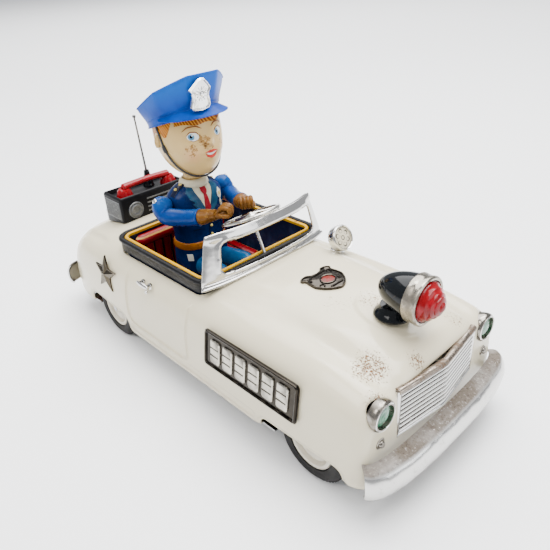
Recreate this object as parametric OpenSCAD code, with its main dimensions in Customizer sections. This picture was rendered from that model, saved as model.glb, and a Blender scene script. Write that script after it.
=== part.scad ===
// Battery-driven tin police convertible with a seated driver.
// The frame's origin is on the ground at the middle of the car's outline.
// +X points to the front bumper, +Y to the car's left side, +Z up. Millimetres.

/* [Car] */
// Distance from the middle of the car to each bumper's face
half_length = 124.5; // [122:0.5:127]
// Widest half width of the body pressing
half_width = 48.7; // [48:0.1:50]
// Height of the lower edge of the body's sides
sill_z = 12.2; // [11.5:0.1:13]
// Thickness of the tinplate pressings
tin = 0.6; // [0.4:0.1:0.8]

/* [Wheels] */
// Radius of the tyres
tyre_r = 17; // [16:0.5:17.5]
// Width of the tyres
tyre_w = 8; // [7:0.5:8]
// Radius of the hub caps
hub_r = 10.8; // [10:0.1:11.5]
// Place of the rear axle along the car
rear_axle_x = -65; // [-66:0.5:-64]
// Place of the front axle along the car
front_axle_x = 85; // [84.5:0.5:87]
// Radius of both axles
axle_r = 1.5; // [1.4:0.1:1.6]

/* [Cockpit] */
// Rear end of the cockpit opening
cockpit_rear = -62; // [-63:0.5:-61]
// Front end of the cockpit opening
cockpit_front = 16; // [15.5:0.5:16]
// Half width of the cockpit opening
cockpit_half = 38.7; // [38:0.1:39]
// Height of the cockpit floor's lower face
floor_z = 28.2; // [28:0.1:29]
// Height of the top of the padded rim
rim_top = 61.5; // [60.5:0.5:62]

/* [Windshield] */
// Height of the windshield's top edge
screen_top = 82.5; // [80:0.5:84]
// How far the middle of the windshield bows forward
screen_bow = 6; // [4:0.5:7]

/* [Gear train] */
// Gear module
gear_m = 0.6; // [0.58:0.01:0.62]
// Teeth on the rear axle's gear
axle_teeth = 34; // [34:1:36]
// Teeth on the idler's large gear
idler_teeth = 30; // [30:1:32]
// Teeth on the idler's pinion and on the motor's pinion
pinion_teeth = 10; // [10:1:11]

/* [Hidden] */

$fn = 64;
run_gap = 0.06;          // radial clearance of a shaft in its bearing
eps = 0.01;
axle_z = tyre_r;
wheel_y = 42;            // middle of a tyre
base_top = 13.4;         // upper face of the base plate
base_t = 0.8;

// Outline tables of the body pressing, along the car: [x, value].
x_rear = -119.5;
x_front = 111.5;
width_at = [[-119.5, 35], [-117, 39], [-112, 43], [-100, 46], [-80, 47.6], [-50, half_width],
            [45, half_width], [85, 48.2], [100, 47.6], [107, 46.2], [111.5, 43.5]];
shoulder_at = [[-119.5, 41], [-117, 45], [-112, 48], [-100, 51.5], [-80, 55], [-60, 57], [40, 57.4],
               [80, 57], [98, 55.8], [106, 54.4], [111.5, 52]];
crown_at = [[-119.5, 41], [-117, 45.5], [-112, 49], [-100, 53], [-80, 56.6], [-60, 58.2], [16, 59],
            [50, 61], [75, 60.4], [92, 58], [102, 55], [107, 52.6], [111.5, 50]];
valley_at = [[-119.5, 0], [20, 0], [50, 1.6], [85, 2.8], [100, 3], [111.5, 2.4]];
side_power = 4.4;        // squareness of the body's cross-section

function bell(v, middle, spread) = exp(-pow((v - middle) / spread, 2));

// One point of the body's cross-section: a runs from 0 at the sill to 180 at the other sill.
function section_point(x, a, inset, drop) =
    let (w = lookup(x, width_at) - inset,
         shoulder = lookup(x, shoulder_at) - inset,
         crown = lookup(x, crown_at) - inset,
         low = sill_z - drop,
         c = cos(a), s = sin(a),
         v = sign(c) * pow(abs(c), 2 / side_power),
         rise = pow(s, 2 / side_power),
         top = (crown - shoulder) * (1 - v * v)
               - lookup(x, valley_at) * (bell(abs(v), 0.62, 0.12)))
    [x, w * v, low + (shoulder - low) * rise + top * pow(rise, 6)];

function section_ring(x, at, steps, inset, drop) =
    [for (i = [0 : steps]) let (p = section_point(at, 180 * i / steps, inset, drop)) [x, p.y, p.z]];

// A closed loft through rings of equal size.
module loft(rings) {
    n = len(rings[0]);
    last = len(rings) - 1;
    points = [for (ring = rings) for (p = ring) p];
    sides = [for (j = [0 : last - 1]) for (i = [0 : n - 1])
             let (k = (i + 1) % n, a = j * n, b = (j + 1) * n)
             for (f = [[a + i, b + i, b + k], [a + i, b + k, a + k]]) f];
    rear_cap = [for (i = [0 : n - 1]) i];
    front_cap = [for (i = [n - 1 : -1 : 0]) last * n + i];
    polyhedron(points, concat(sides, [rear_cap, front_cap]), convexity = 8);
}

body_stations = [-119.5, -117, -112, -100, -80, -60, -30, 0, 25, 50, 68, 85, 96, 103, 108, 111.5];
section_steps = 28;

module body_solid(inset, drop) {
    ends = [x_rear + inset, x_front - inset];
    loft([for (x = body_stations)
          section_ring(min(max(x, ends[0]), ends[1]) , x, section_steps, inset, drop)]);
}

// Mirror what is drawn on the right side to the left side as well.
module both_sides() {
    children();
    mirror([0, 1, 0]) children();
}

module rounded_slab(x0, x1, half, r, z0, z1) {
    translate([0, 0, z0])
        linear_extrude(z1 - z0)
            polygon(slab_outline(x0, x1, half, r));
}

// Outline of a rectangle with round corners, six points a corner.
function slab_outline(x0, x1, half, r) =
    [for (q = [0 : 3]) for (i = [0 : 5])
     let (a = 90 * q + 18 * i,
          cx = (q == 0 || q == 3) ? x1 - r : x0 + r,
          cy = (q < 2) ? half - r : r - half)
     [cx + r * cos(a), cy + r * sin(a)]];

// ---------------------------------------------------------------- body

arch_rear = [-93, -46, 20.3];      // rear end, front end and height of the rear wheel opening
arch_front = [56, 103, 15.9];

module arch_cut(arch) {
    translate([arch[0], -60, sill_z - 20])
        cube([arch[1] - arch[0], 120, arch[2] - sill_z + 20]);
}

grille_half = 26.4;
grille_low = 26.4;
grille_high = 48.6;

module body_shell() {
    color("ivory")
        difference() {
            body_solid(0, 0);
            body_solid(tin, 6);
            rounded_slab(cockpit_rear, cockpit_front, cockpit_half, 8, 40, 80);
            arch_cut(arch_rear);
            arch_cut(arch_front);
            translate([100, -grille_half - 0.1, grille_low - 0.1])
                cube([20, 2 * grille_half + 0.2, grille_high - grille_low + 0.2]);
            both_sides() {
                translate([head_x - 6, -head_y, head_z])
                    rotate([0, 90, 0]) cylinder(h = 20, r = head_r + 0.1);
                translate([x_front - 4, -head_y - 1, parking_z])
                    rotate([0, 90, 0]) cylinder(h = 20, r = parking_r);
                translate([x_rear - 5, -tail_y, tail_z])
                    rotate([0, 90, 0]) cylinder(h = 20, r = tail_r);
            }
            translate([lever_x - 6, lever_y - 1, 40])
                cube([12, 2, 30]);
        }
}

base_half = 46.9;
screw_spots = [[-108, -30], [-108, 30], [-38, -40], [-38, 40], [104, -24], [104, 24]];
screw_r = 1.2;

module base_plate() {
    color("silver")
        difference() {
            union() {
                rounded_slab(-117, 108, 42, 8, base_top - base_t, base_top);
                rounded_slab(-96, 99, 45.5, 4, base_top - base_t, base_top);
                rounded_slab(-78, 86, base_half, 4, base_top - base_t, base_top);
                for (x = [rear_axle_x, front_axle_x])
                    both_sides()
                        translate([x - 5, -36.8, base_top - base_t])
                            cube([10, 1, axle_z + 4 - base_top + base_t]);
                both_sides()
                    translate([door_x0, 0, base_top - base_t])
                        rotate([90, 0, 90])
                            linear_extrude(door_x1 - door_x0 - 8)
                                polygon([[-door_half - 1.7, 0.1], [-door_half - 0.3, 0.1], [-door_half - 0.3, -1.4],
                                         [-door_half + 2, -1.4], [-door_half + 2, -2], [-door_half - 1.7, -2]]);
            }
            for (x = [rear_axle_x, front_axle_x]) {
                translate([x, 60, axle_z])
                    rotate([90, 0, 0])
                        cylinder(h = 120, r = axle_r + run_gap);
                both_sides()
                    translate([x - tyre_r - 2, -60, 0])
                        cube([2 * tyre_r + 4, 60 - 37, 30]);
            }
            translate([cell_x0 - 0.8, -cell_half, 0])
                cube([cell_x1 - cell_x0 + 2.6, 2 * cell_half, base_top + 0.2]);
            translate([rear_axle_x - 20, gear_y - 2.2, 0])
                cube([34, 7.6, base_top + eps]);
            for (p = screw_spots)
                translate([p.x, p.y, 0]) cylinder(h = 30, r = screw_r);
        }
}

module cockpit_tray() {
    color("midnightblue")
        difference() {
            rounded_slab(cockpit_rear + 2.6, cockpit_front - 2.6, cockpit_half - 2.6, 6, floor_z, rim_top - 2);
            rounded_slab(cockpit_rear + 2.6 + tin, cockpit_front - 2.6 - tin, cockpit_half - 2.6 - tin,
                         6 - tin, floor_z + tin, 90);
        }
}

module ring_slab(x0, x1, half, r, wall, z0, z1) {
    difference() {
        rounded_slab(x0, x1, half, r, z0, z1);
        rounded_slab(x0 + wall, x1 - wall, half - wall, r - wall, z0 - 1, z1 + 1);
    }
}

module cockpit_rim() {
    color("black")
        difference() {
            ring_slab(cockpit_rear + 0.2, cockpit_front - 0.2, cockpit_half - 0.2, 7.8, 2.3, 54.5, rim_top);
            column_axis()
                translate([0, 0, -column_len - 0.4])
                    cylinder(h = column_len, r = column_r + run_gap);
        }
}

module rim_trim() {
    color("gold")
        ring_slab(cockpit_rear + 2.6, cockpit_front - 3.6, cockpit_half - 2.6, 5.6, 1.6,
                  rim_top - 1.9, rim_top - 0.4);
}

seat_back_x = -57.8;

module seat_back() {
    color("crimson")
        for (i = [-4 : 4])
            translate([seat_back_x, i * 6.8 - 3.5, floor_z + tin])
                cube([3.4 + (i % 2 == 0 ? 0.5 : 0), 7, 30]);
}

cushion_h = 7;

module seat_cushion() {
    color("crimson")
        translate([seat_back_x + 4.2, -32, floor_z + tin])
            cube([28, 64, cushion_h]);
}

module dashboard() {
    color("dimgray")
        translate([cockpit_front - 8.8, 0, 47])
            rotate([90, 0, 90])
                linear_extrude(4.6)
                    polygon([[-31.6, 0], [31.6, 0], [31.6, 10], [8, 12], [-8, 12], [-31.6, 10]]);
}

// ---------------------------------------------------------------- windshield

screen_base = 57.3;
screen_mid_base = 59.4;

function screen_plan(u) = 15.5 + screen_bow * (1 - pow(abs(u), 3));
function screen_half(v) = 39.6 - 7 * v;
function screen_point(u, v, back) =
    [screen_plan(u) - 2 * v - back, u * screen_half(v),
     (screen_base + (screen_mid_base - screen_base) * (1 - u * u)) * (1 - v) + screen_top * v];

module windshield_frame() {
    steps = 16;
    rings = [for (i = [0 : steps])
             let (u = 2 * i / steps - 1)
             [screen_point(u, 1, 1.2), screen_point(u, 1, 0), screen_point(u, 0, 0), screen_point(u, 0, 1.6)]];
    color("lightgray")
        difference() {
            loft(rings);
            translate([0, 0, 0])
                rotate([90, 0, 90])
                    linear_extrude(60)
                        polygon([[-29, 63.5], [29, 63.5], [26.5, 77.6], [-26.5, 77.6]]);
        }
}

// ---------------------------------------------------------------- front and rear trim

module grille() {
    ribs = 9;
    nose_x = 115.2;
    side_x = 111.6;
    color("lightgray") {
        for (i = [0 : ribs - 1])
            let (z = grille_low + 1.6 + i * (grille_high - grille_low - 4) / (ribs - 1))
                translate([0, 0, z])
                    linear_extrude(1.2)
                        polygon([[side_x, -grille_half + 1], [nose_x + 0.6, 0], [side_x, grille_half - 1],
                                 [side_x - 1, grille_half - 1], [nose_x - 2, 0], [side_x - 1, 1 - grille_half]]);
        translate([0, 0, grille_low])
            difference() {
                linear_extrude(grille_high - grille_low)
                    polygon([[side_x, -grille_half], [nose_x, 0], [side_x, grille_half], [side_x - 2.2, grille_half],
                             [nose_x - 2.4, 0], [side_x - 2.2, -grille_half]]);
                translate([0, -grille_half + 1.6, 1.6])
                    cube([150, 2 * grille_half - 3.2, grille_high - grille_low - 3.2]);
            }
    }
}

// Cross-section of a bumper, from its face back to the body: [depth, height].
function bumper_profile(ledge) =
    [[0, 4.4], [-0.6, 8.6], [-2.2, 11.4], [-3.4, 12.4], [-ledge, 12.9], [-ledge, 12.2], [-3, 11.4], [-1.6, 8.2],
     [-1.2, 4.4], [-2.4, 1.4], [-3.8, 0.8], [-3.8, 0], [-2, 0.3]];

module bumper(face_x, reach, half, z0, ledge) {
    steps = 20;
    rings = [for (i = [0 : steps])
             let (t = 2 * i / steps - 1,
                  a = t * 78,
                  out = pow(abs(cos(a)), 0.5),
                  side = sign(a) * pow(abs(sin(a)), 0.75) / pow(sin(78), 0.75))
             [for (p = bumper_profile(ledge))
              [face_x - reach * (1 - out) + p.x * (0.35 + 0.65 * out),
               -side * (half + p.x * (1 - out)), z0 + p.y]]];
    loft(rings);
}

module front_bumper() {
    color("lightgray") bumper(half_length, 20, 49.6, 13, 9);
}

module rear_bumper() {
    color("lightgray")
        mirror([1, 0, 0]) bumper(half_length, 18, 48.6, 14.4, 4.6);
}

head_x = 112.4;
head_y = 35.6;
head_z = 43.7;
head_r = 6.4;

module headlight_rims() {
    color("lightgray")
        both_sides()
            translate([head_x - 4, -head_y, head_z])
                rotate([0, 90, 0])
                    rotate_extrude()
                        polygon([[4.9, 0], [head_r - 0.4, 0], [head_r, 2.6], [head_r - 0.8, 4.2], [5.2, 4.6], [4.9, 3]]);
}

module headlight_lenses() {
    color("mediumseagreen")
        both_sides()
            translate([head_x - 2, -head_y, head_z])
                rotate([0, 90, 0])
                    rotate_extrude()
                        polygon([[0, 0], [4.9, 0], [4.9, 1], [3.4, 2.2], [1.6, 2.8], [0, 3]]);
}

parking_z = 31;
parking_r = 2;

module parking_lamps() {
    color("lightgray")
        both_sides()
            translate([x_front - 1, -head_y - 1, parking_z])
                rotate([0, 90, 0]) cylinder(h = 2.4, r = parking_r);
}

tail_y = 31;
tail_z = 34;
tail_r = 3.4;

module tail_lamps() {
    color("red")
        both_sides()
            translate([x_rear + 1, -tail_y, tail_z])
                rotate([0, -90, 0])
                    rotate_extrude()
                        polygon([[0, 0], [tail_r, 0], [tail_r, 2], [2.2, 3.4], [0, 4]]);
}

// ---------------------------------------------------------------- warning lamp on the bonnet

lamp_x = 102.6;          // plane of the lamp's rim
lamp_z = 71;
lamp_r = 10.2;
shell_len = 20;

module lamp_axis() {
    translate([lamp_x, 0, lamp_z])
        rotate([0, 90, 0]) children();
}

// Half outline of the egg-shaped shell, from rim to tail, or from tail to rim when backwards is 1.
function egg(r, len, backwards) =
    [for (i = [0 : 12]) let (a = 7.5 * (backwards == 1 ? 12 - i : i)) [r * cos(a), -len * sin(a)]];

module lamp_housing() {
    color("black") {
        lamp_axis()
            rotate_extrude()
                polygon(concat(egg(lamp_r - 0.9, shell_len, 0), egg(lamp_r - 1.9, shell_len - 1, 1)));
        translate([lamp_x - 11, 0, 0])
            difference() {
                translate([0, 0, 58]) cylinder(h = 6, r1 = 7.2, r2 = 5.6);
                translate([11, 0, lamp_z])
                    rotate([0, -90, 0])
                        cylinder(h = 30, r = lamp_r - 1.4);
            }
    }
}

module lamp_ring() {
    color("lightgray")
        lamp_axis()
            rotate_extrude()
                polygon([[lamp_r - 1.9, 0.02], [lamp_r - 0.4, 0.02], [lamp_r, 0.9], [lamp_r - 0.2, 2],
                         [lamp_r - 1.9, 2.2]]);
}

lens_steps = [[8.3, 0.4], [8.3, 2.2], [7.2, 3.2], [6.9, 4.4], [5.6, 5.2], [5.2, 6.4], [3.6, 7.2], [3, 8.2], [0, 8.8]];

module lamp_lens() {
    color("red")
        lamp_axis()
            rotate_extrude()
                polygon(concat([[0, 7.6], [2.6, 7.2], [4.6, 5.4], [6.2, 3.4], [7.2, 0.4]], lens_steps));
}

module lamp_bulb() {
    color("khaki")
        lamp_axis()
            rotate_extrude()
                polygon([[0, -18.2], [2, -18], [2, -8], [3.6, -7], [3.6, 2], [2.4, 4.2], [0, 5]]);
}

module siren_horn() {
    color("lightgray")
        translate([35.5, 29.5, 57])
            union() {
                cylinder(h = 4, r = 2.6);
                translate([1, 0, 7.4])
                    rotate([0, 62, 0])
                        translate([0, 0, -2.5])
                            difference() {
                                cylinder(h = 5.6, r = 6.4);
                                translate([0, 0, 4.8]) cylinder(h = 2, r = 5.6);
                                for (i = [0 : 5])
                                    rotate(60 * i)
                                        translate([3.6, 0, 3.6]) cylinder(h = 2, r = 0.9);
                            }
            }
}

module bonnet_badge() {
    color("dimgray")
        translate([54.5, 0, 60.8])
            linear_extrude(1.4)
                polygon([[-8.6, -9.6], [-9, 0], [-8.6, 9.6], [-4, 9.4], [2, 8.6], [6.4, 5.4], [9, 0], [6.4, -5.4],
                         [2, -8.6], [-4, -9.4]]);
}

// ---------------------------------------------------------------- side trim

module on_side(x, y, z, lean) {
    translate([x, y, z])
        rotate([90 - lean, 0, 0]) children();
}

plate_x0 = 25;
plate_len = 57;
plate_h = 18;

module side_plates() {
    bars = 6;
    color("dimgray")
        both_sides()
            on_side(plate_x0, -48.8, 29, 9) {
                cube([plate_len, plate_h, 1]);
                for (i = [0 : bars - 1])
                    translate([5 + i * 8.4, 4, 1 - eps]) cube([5.4, 10, 0.5]);
            }
}

module star_badges() {
    star = [for (i = [0 : 9]) let (r = i % 2 == 0 ? 11 : 4.6, a = 90 + 36 * i) [r * cos(a), r * sin(a)]];
    color("darkgoldenrod")
        both_sides()
            on_side(-63.5, -46.9, 41, 8)
                linear_extrude(1.6) polygon(star);
}

module door_handles() {
    color("lightgray")
        both_sides()
            on_side(-27, -45.2, 48.8, 14) {
                translate([0, 0, 0]) cylinder(h = 2, r = 1.2);
                translate([6, 0, 0]) cylinder(h = 2, r = 1.2);
                hull() {
                    translate([-1.6, 0, 2]) cylinder(h = 1.2, r = 1.5);
                    translate([7.6, 0, 2]) cylinder(h = 1.2, r = 1.5);
                }
            }
}

// ---------------------------------------------------------------- driver

neck_x = -38;
seat_top = floor_z + tin + cushion_h;

module driver_torso() {
    rows = [[seat_top + 0.2, 11.5, 15.5], [46, 11, 15], [58, 10, 14], [70, 11, 15.5], [79, 10, 15.5],
            [84.5, 7, 11], [86.5, 4.5, 5]];
    color("navy")
        loft([for (r = rows)
              [for (i = [0 : 19])
               let (a = 18 * i)
               [neck_x - 1 + r[1] * sign(cos(a)) * pow(abs(cos(a)), 0.8),
                r[2] * sign(sin(a)) * pow(abs(sin(a)), 0.8), r[0]]]]);
}

module driver_legs() {
    color("steelblue")
        both_sides() {
            hull() {
                translate([-21.6, -8, 42.6]) sphere(5.4, $fn = 20);
                translate([-12, -8.5, 44]) sphere(5.2, $fn = 20);
            }
            hull() {
                translate([-12, -8.5, 44]) sphere(5.2, $fn = 20);
                translate([-3, -9, 33.6]) sphere(4.4, $fn = 20);
            }
        }
}

shoulder = [-40.5, 80];       // x and z of the shoulder rivets
shoulder_y = 16.2;

module driver_pins() {
    color("lightgray") {
        both_sides()
            translate([shoulder[0], -shoulder_y - 4.2, shoulder[1]])
                rotate([-90, 0, 0]) {
                    cylinder(h = 8, r = 1.2);
                    cylinder(h = 0.8, r = 2.4);
                }
        translate([neck_x, 0, 84]) cylinder(h = 12, r = 2);
    }
}

// One arm drawn for the right side, at its true place.
module arm_solid() {
    difference() {
        union() {
            hull() {
                translate([shoulder[0], -shoulder_y - 3.9, shoulder[1]])
                    rotate([-90, 0, 0]) cylinder(h = 3.2, r = 6.2, $fn = 28);
                translate([-37, -20.6, 73]) sphere(4.2, $fn = 24);
            }
            hull() {
                translate([-37, -20.6, 73]) sphere(4.2, $fn = 24);
                translate([-17, -13.4, 75.6]) sphere(4.2, $fn = 24);
            }
        }
        translate([shoulder[0], -30, shoulder[1]])
            rotate([-90, 0, 0]) {
                cylinder(h = 20, r = 1.2 + run_gap);
                cylinder(h = 30 - shoulder_y - 3.3, r = 2.5);
            }
    }
}

module glove_solid() {
    hull() {
        translate([-17, -13.4, 75.6])
            rotate([0, 86, 24]) cylinder(h = 1, r = 4.6, $fn = 24);
        translate([-9, -9.6, 77.4]) sphere(4, $fn = 24);
    }
    hull() {
        translate([-9, -9.6, 77.4]) sphere(4, $fn = 24);
        translate([-3.6, -6, 80.2]) sphere(4.4, $fn = 24);
    }
}

module arm_only() {
    difference() {
        arm_solid();
        hull() {
            translate([-16.9, -13.4, 75.6])
                rotate([0, 86, 24]) cylinder(h = 12, r = 9, $fn = 24);
        }
        glove_solid();
    }
}

module right_arm() {
    color("dodgerblue") arm_only();
}

module left_arm() {
    color("dodgerblue") mirror([0, 1, 0]) arm_only();
}

module right_glove() {
    color("peru") glove_solid();
}

module left_glove() {
    color("peru") mirror([0, 1, 0]) glove_solid();
}

head_c = [-36.5, 0, 105];

module driver_head() {
    color("bisque")
        difference() {
            union() {
                translate(head_c) sphere(14.6);
                translate([head_c.x + 14.2, 0, 106]) sphere(2.6);
                both_sides()
                    translate([head_c.x - 1, -14.4, 105]) sphere(2.8);
                translate([neck_x, 0, 87]) cylinder(h = 8, r = 5);
            }
            translate([neck_x, 0, 80]) cylinder(h = 16.3, r = 2 + run_gap);
            translate([head_c.x, 0, 117]) cylinder(h = 10, r = 30);
        }
}

cap_z = 117;

module driver_cap() {
    rows = [[0, 15.2, 0], [4, 15.6, 0], [9, 21, 0], [11.5, 22, 1.6], [14, 20.5, 3], [16, 13, 3.4]];
    color("royalblue") {
        loft([for (r = rows)
              [for (i = [0 : 23])
               let (a = 15 * i, lift = 0.22 * r[2] * (1 + cos(a)))
               [head_c.x + r[1] * cos(a) * 0.96, r[1] * sin(a), cap_z + r[0] + lift * 6]]]);
        loft([for (i = [0 : 8])
              let (a = -64 + 16 * i, c = cos(a), s = sin(a), reach = 6.5 * pow(cos(a * 1.3), 0.8))
              [for (p = [[14.2, 1.6], [15 + reach, -2.4 - 0.3 * reach], [15.4 + reach, -3.4 - 0.3 * reach],
                         [14.2, 0.4]])
               [head_c.x + 0.5 + p.x * c, p.x * s, cap_z + p.y]]]);
    }
}

module cap_badge() {
    color("silver")
        translate([head_c.x + 20.6, 0, 133])
            rotate([90, 0, 90])
                linear_extrude(2.2)
                    polygon([[-5, 6], [0, 7.4], [5, 6], [6, 0], [4.4, -5], [0, -7.4], [-4.4, -5], [-6, 0]]);
}

module chin_strap() {
    color("black")
        translate([head_c.x + 3, 0, 104])
            rotate([0, 0, 90])
                rotate([90, 0, 0])
                    rotate_extrude(angle = 180, start = 180)
                        translate([14.7, -0.8]) square([0.9, 1.6]);
}

// ---------------------------------------------------------------- steering

wheel_hub = [6.2, 78.2];      // x and z of the steering wheel's middle
column_foot = [14.5, 59.8];
column_r = 0.9;
column_tilt = atan2(column_foot[0] - wheel_hub[0], wheel_hub[1] - column_foot[1]);
column_len = norm(column_foot - wheel_hub);

module column_axis() {
    translate([wheel_hub[0], 0, wheel_hub[1]])
        rotate([0, -column_tilt, 0]) children();
}

module steering_wheel() {
    color("silver")
        column_axis() {
            rotate_extrude()
                translate([14.2, 0]) circle(0.9, $fn = 24);
            for (a = [0, 120, 240])
                rotate(a + 30)
                    translate([3, -0.9, -0.5]) cube([10.6, 1.8, 1]);
            rotate_extrude()
                polygon([[column_r, -1.4], [4.2, -1.4], [4.2, 0.4], [3, 1.9], [0, 2.6], [0, 1], [column_r, 1]]);
        }
}

module steering_column() {
    color("silver")
        column_axis()
            translate([0, 0, -column_len])
                cylinder(h = column_len + 1, r = column_r);
}

// ---------------------------------------------------------------- radio

box_x0 = -101;
box_x1 = -81;
box_half = 22;
box_low = 53.1;
deck_rise = 3.4;         // of the deck under the box, from its rear to its front
box_high = 71;

module radio_box() {
    color("black")
        difference() {
            translate([0, box_half, 0])
                rotate([90, 0, 0])
                    linear_extrude(2 * box_half)
                        polygon([[box_x0, box_low], [box_x1, box_low + deck_rise], [box_x1, box_high],
                                 [box_x0, box_high]]);
            translate([box_x0 + 1.2, -box_half + 1.2, box_high - 3])
                cube([box_x1 - box_x0 - 2.4, 2 * box_half - 2.4, 4]);
            translate([box_x1 - 0.8, -box_half + 9, 62])
                rotate([0, 90, 0]) cylinder(h = 2, r = 4.4);
        }
}

module radio_handset() {
    color("red")
        translate([-88, 0.4, box_high - 3]) {
            both_sides()
                translate([0, -15, 0]) cylinder(h = 6, r1 = 5, r2 = 3.8);
            hull()
                both_sides()
                    translate([0, -14, 6.8]) sphere(2.6, $fn = 24);
        }
}

antenna = [-94.5, 5.6];
antenna_lean = 5;        // of the rod, towards the rear
antenna_foot = box_high + 5;

module antenna_base() {
    color("black")
        translate([antenna.x, antenna.y, box_high - 3])
            difference() {
                cylinder(h = 10, r1 = 3.4, r2 = 1.6);
                translate([0, 0, 8]) cylinder(h = 10, r = 0.95);
            }
}

module antenna_rod() {
    color("dimgray")
        translate([antenna.x, antenna.y, antenna_foot + 0.1])
            rotate([0, -antenna_lean, 0]) {
                cylinder(h = 33, r = 0.7);
                translate([0, 0, 33.4]) sphere(1.1);
            }
}

// ---------------------------------------------------------------- drive

gear_y = -4;
plate_gap = 9;
train_angle = [125, 172];

pitch_axle = gear_m * axle_teeth / 2;
pitch_idler = gear_m * idler_teeth / 2;
pitch_pinion = gear_m * pinion_teeth / 2;
idler_at = [rear_axle_x + (pitch_axle + pitch_pinion) * cos(train_angle[0]),
            axle_z + (pitch_axle + pitch_pinion) * sin(train_angle[0])];
motor_at = idler_at + (pitch_idler + pitch_pinion) * [cos(train_angle[1]), sin(train_angle[1])];

// Outline of a spur gear with one tooth centred on angle "turn".
function gear_outline(teeth, turn) =
    let (r = gear_m * teeth / 2, step = 360 / teeth)
    [for (i = [0 : teeth - 1])
     for (p = [[r - 1.2 * gear_m, -0.29], [r, -0.195], [r + 0.85 * gear_m, -0.09],
               [r + 0.85 * gear_m, 0.09], [r, 0.195], [r - 1.2 * gear_m, 0.29]])
     let (a = turn + step * (i + p.y))
     [p.x * cos(a), p.x * sin(a)]];

// A gear whose axis lies along Y, between y0 and y1, round the point at = [x, z].
module gear(at, teeth, turn, y0, y1, bore) {
    translate([at[0], y1, at[1]])
        rotate([90, 0, 0])
            difference() {
                linear_extrude(y1 - y0) polygon(gear_outline(teeth, turn));
                if (bore > 0)
                    translate([0, 0, -1]) cylinder(h = y1 - y0 + 2, r = bore);
            }
}

module shaft(at, y0, y1, r) {
    translate([at[0], y1, at[1]])
        rotate([90, 0, 0]) cylinder(h = y1 - y0, r = r);
}

rear_at = [rear_axle_x, axle_z];
front_at = [front_axle_x, axle_z];

module rear_axle() {
    color("gray") shaft(rear_at, -46.2, 46.2, axle_r);
}

module front_axle() {
    color("gray") shaft(front_at, -46.2, 46.2, axle_r);
}

module axle_gear() {
    color("goldenrod")
        gear(rear_at, axle_teeth, train_angle[0], gear_y - 1.4, gear_y + 1.4, axle_r);
}

module idler_gear() {
    facing = train_angle[0] + 180 + 180 / pinion_teeth;
    color("goldenrod") {
        gear(idler_at, pinion_teeth, facing, gear_y - 1.6, gear_y + 2.2, 0);
        gear(idler_at, idler_teeth, train_angle[1], gear_y + 2.2, gear_y + 4.4, 0);
        shaft(idler_at, gear_y - 3.9, gear_y + plate_gap - 2.1, 1);
    }
}

module motor_pinion() {
    facing = train_angle[1] + 180 + 180 / pinion_teeth;
    color("goldenrod") {
        gear(motor_at, pinion_teeth, facing, gear_y + 1.8, gear_y + 4.6, 0);
        shaft(motor_at, gear_y - 3.9, gear_y + plate_gap + 18, 1);
    }
}

module gearbox_plates() {
    y_low = gear_y - 3.6;
    y_high = y_low + plate_gap;
    color("silver")
        difference() {
            union() {
                for (y = [y_low, y_high])
                    translate([-98, y + 0.8, base_top])
                        rotate([90, 0, 0])
                            linear_extrude(0.8)
                                polygon([[0, 0], [45, 0], [45, 8], [38, 10], [34, 22], [30, 26], [0, 26]]);
                translate([-98, y_low, 35])
                    cube([2, plate_gap + eps, 3]);
            }
            shaft(idler_at, -40, 40, 1 + run_gap);
            shaft(rear_at, -40, 40, axle_r + run_gap);
            shaft(motor_at, -40, 40, 1 + run_gap);
        }
}

motor_r = 10.4;

module motor_can() {
    y0 = gear_y - 3.6 + plate_gap + 0.8;
    color("slategray")
        difference() {
            translate([motor_at[0], y0 + 26, motor_at[1]])
                rotate([90, 0, 0]) cylinder(h = 26, r = motor_r);
            shaft(motor_at, y0 - 1, y0 + 22, 1 + run_gap);
        }
}

// ---------------------------------------------------------------- power

cell_r = 17.1;
cell_x0 = 17.4;
cell_len = 61.5;
cell_x1 = cell_x0 + cell_len;
cell_half = 2 * cell_r + 0.3;
cell_z = base_top + cell_r + 1;

module battery_cells() {
    color("darkred")
        both_sides()
            translate([cell_x0 + 1.6, -cell_r - 0.15, cell_z])
                rotate([0, 90, 0]) {
                    cylinder(h = cell_len - 1.6, r = cell_r);
                    translate([0, 0, -1.6]) cylinder(h = 1.6, r = 4.4);
                }
}

box_top = cell_z + cell_r + 0.3;

module battery_box() {
    color("silver")
        difference() {
            translate([cell_x0 - 1.6, -cell_half - 0.6, base_top])
                cube([cell_len + 5.6, 2 * cell_half + 1.2, box_top + 0.6 - base_top]);
            translate([cell_x0 - 1, -cell_half, base_top - 1])
                cube([cell_len + 4.4, 2 * cell_half, box_top - base_top + 1]);
        }
}

module battery_contacts() {
    color("gold")
        both_sides() {
            translate([cell_x0 - 1, -cell_r - 6.2, cell_z - 6])
                cube([1, 12, 12]);
            translate([cell_x1, -cell_r - 6.2, cell_z - 6])
                cube([3.4, 12, 12]);
        }
}

door_x0 = 12;
door_x1 = 86;
door_half = 35.2;

module battery_door() {
    color("silver")
        translate([door_x0, -door_half, base_top - base_t - 1.1])
            difference() {
                cube([door_x1 - door_x0 - 4, 2 * door_half, 0.8]);
                translate([4, door_half - 8, -eps]) cube([3, 16, 2]);
            }
}

module base_screws() {
    color("gray")
        for (p = screw_spots)
            translate([p.x, p.y, base_top - base_t - 1.4])
                difference() {
                    union() {
                        cylinder(h = 1.4, r = 2.6);
                        translate([0, 0, 1.4]) cylinder(h = 6, r = screw_r);
                    }
                    translate([-3, -0.4, -eps]) cube([6, 0.8, 0.7]);
                }
}

lever_x = -109;
lever_y = -17;

module switch_lever() {
    color("gray")
        translate([lever_x, lever_y, 0]) {
            translate([-1.5, -0.5, 41]) cube([3, 1, 15]);
            translate([-2.5, -2.5, 41]) cube([5, 5, 1]);
        }
}

// ---------------------------------------------------------------- wheels

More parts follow.
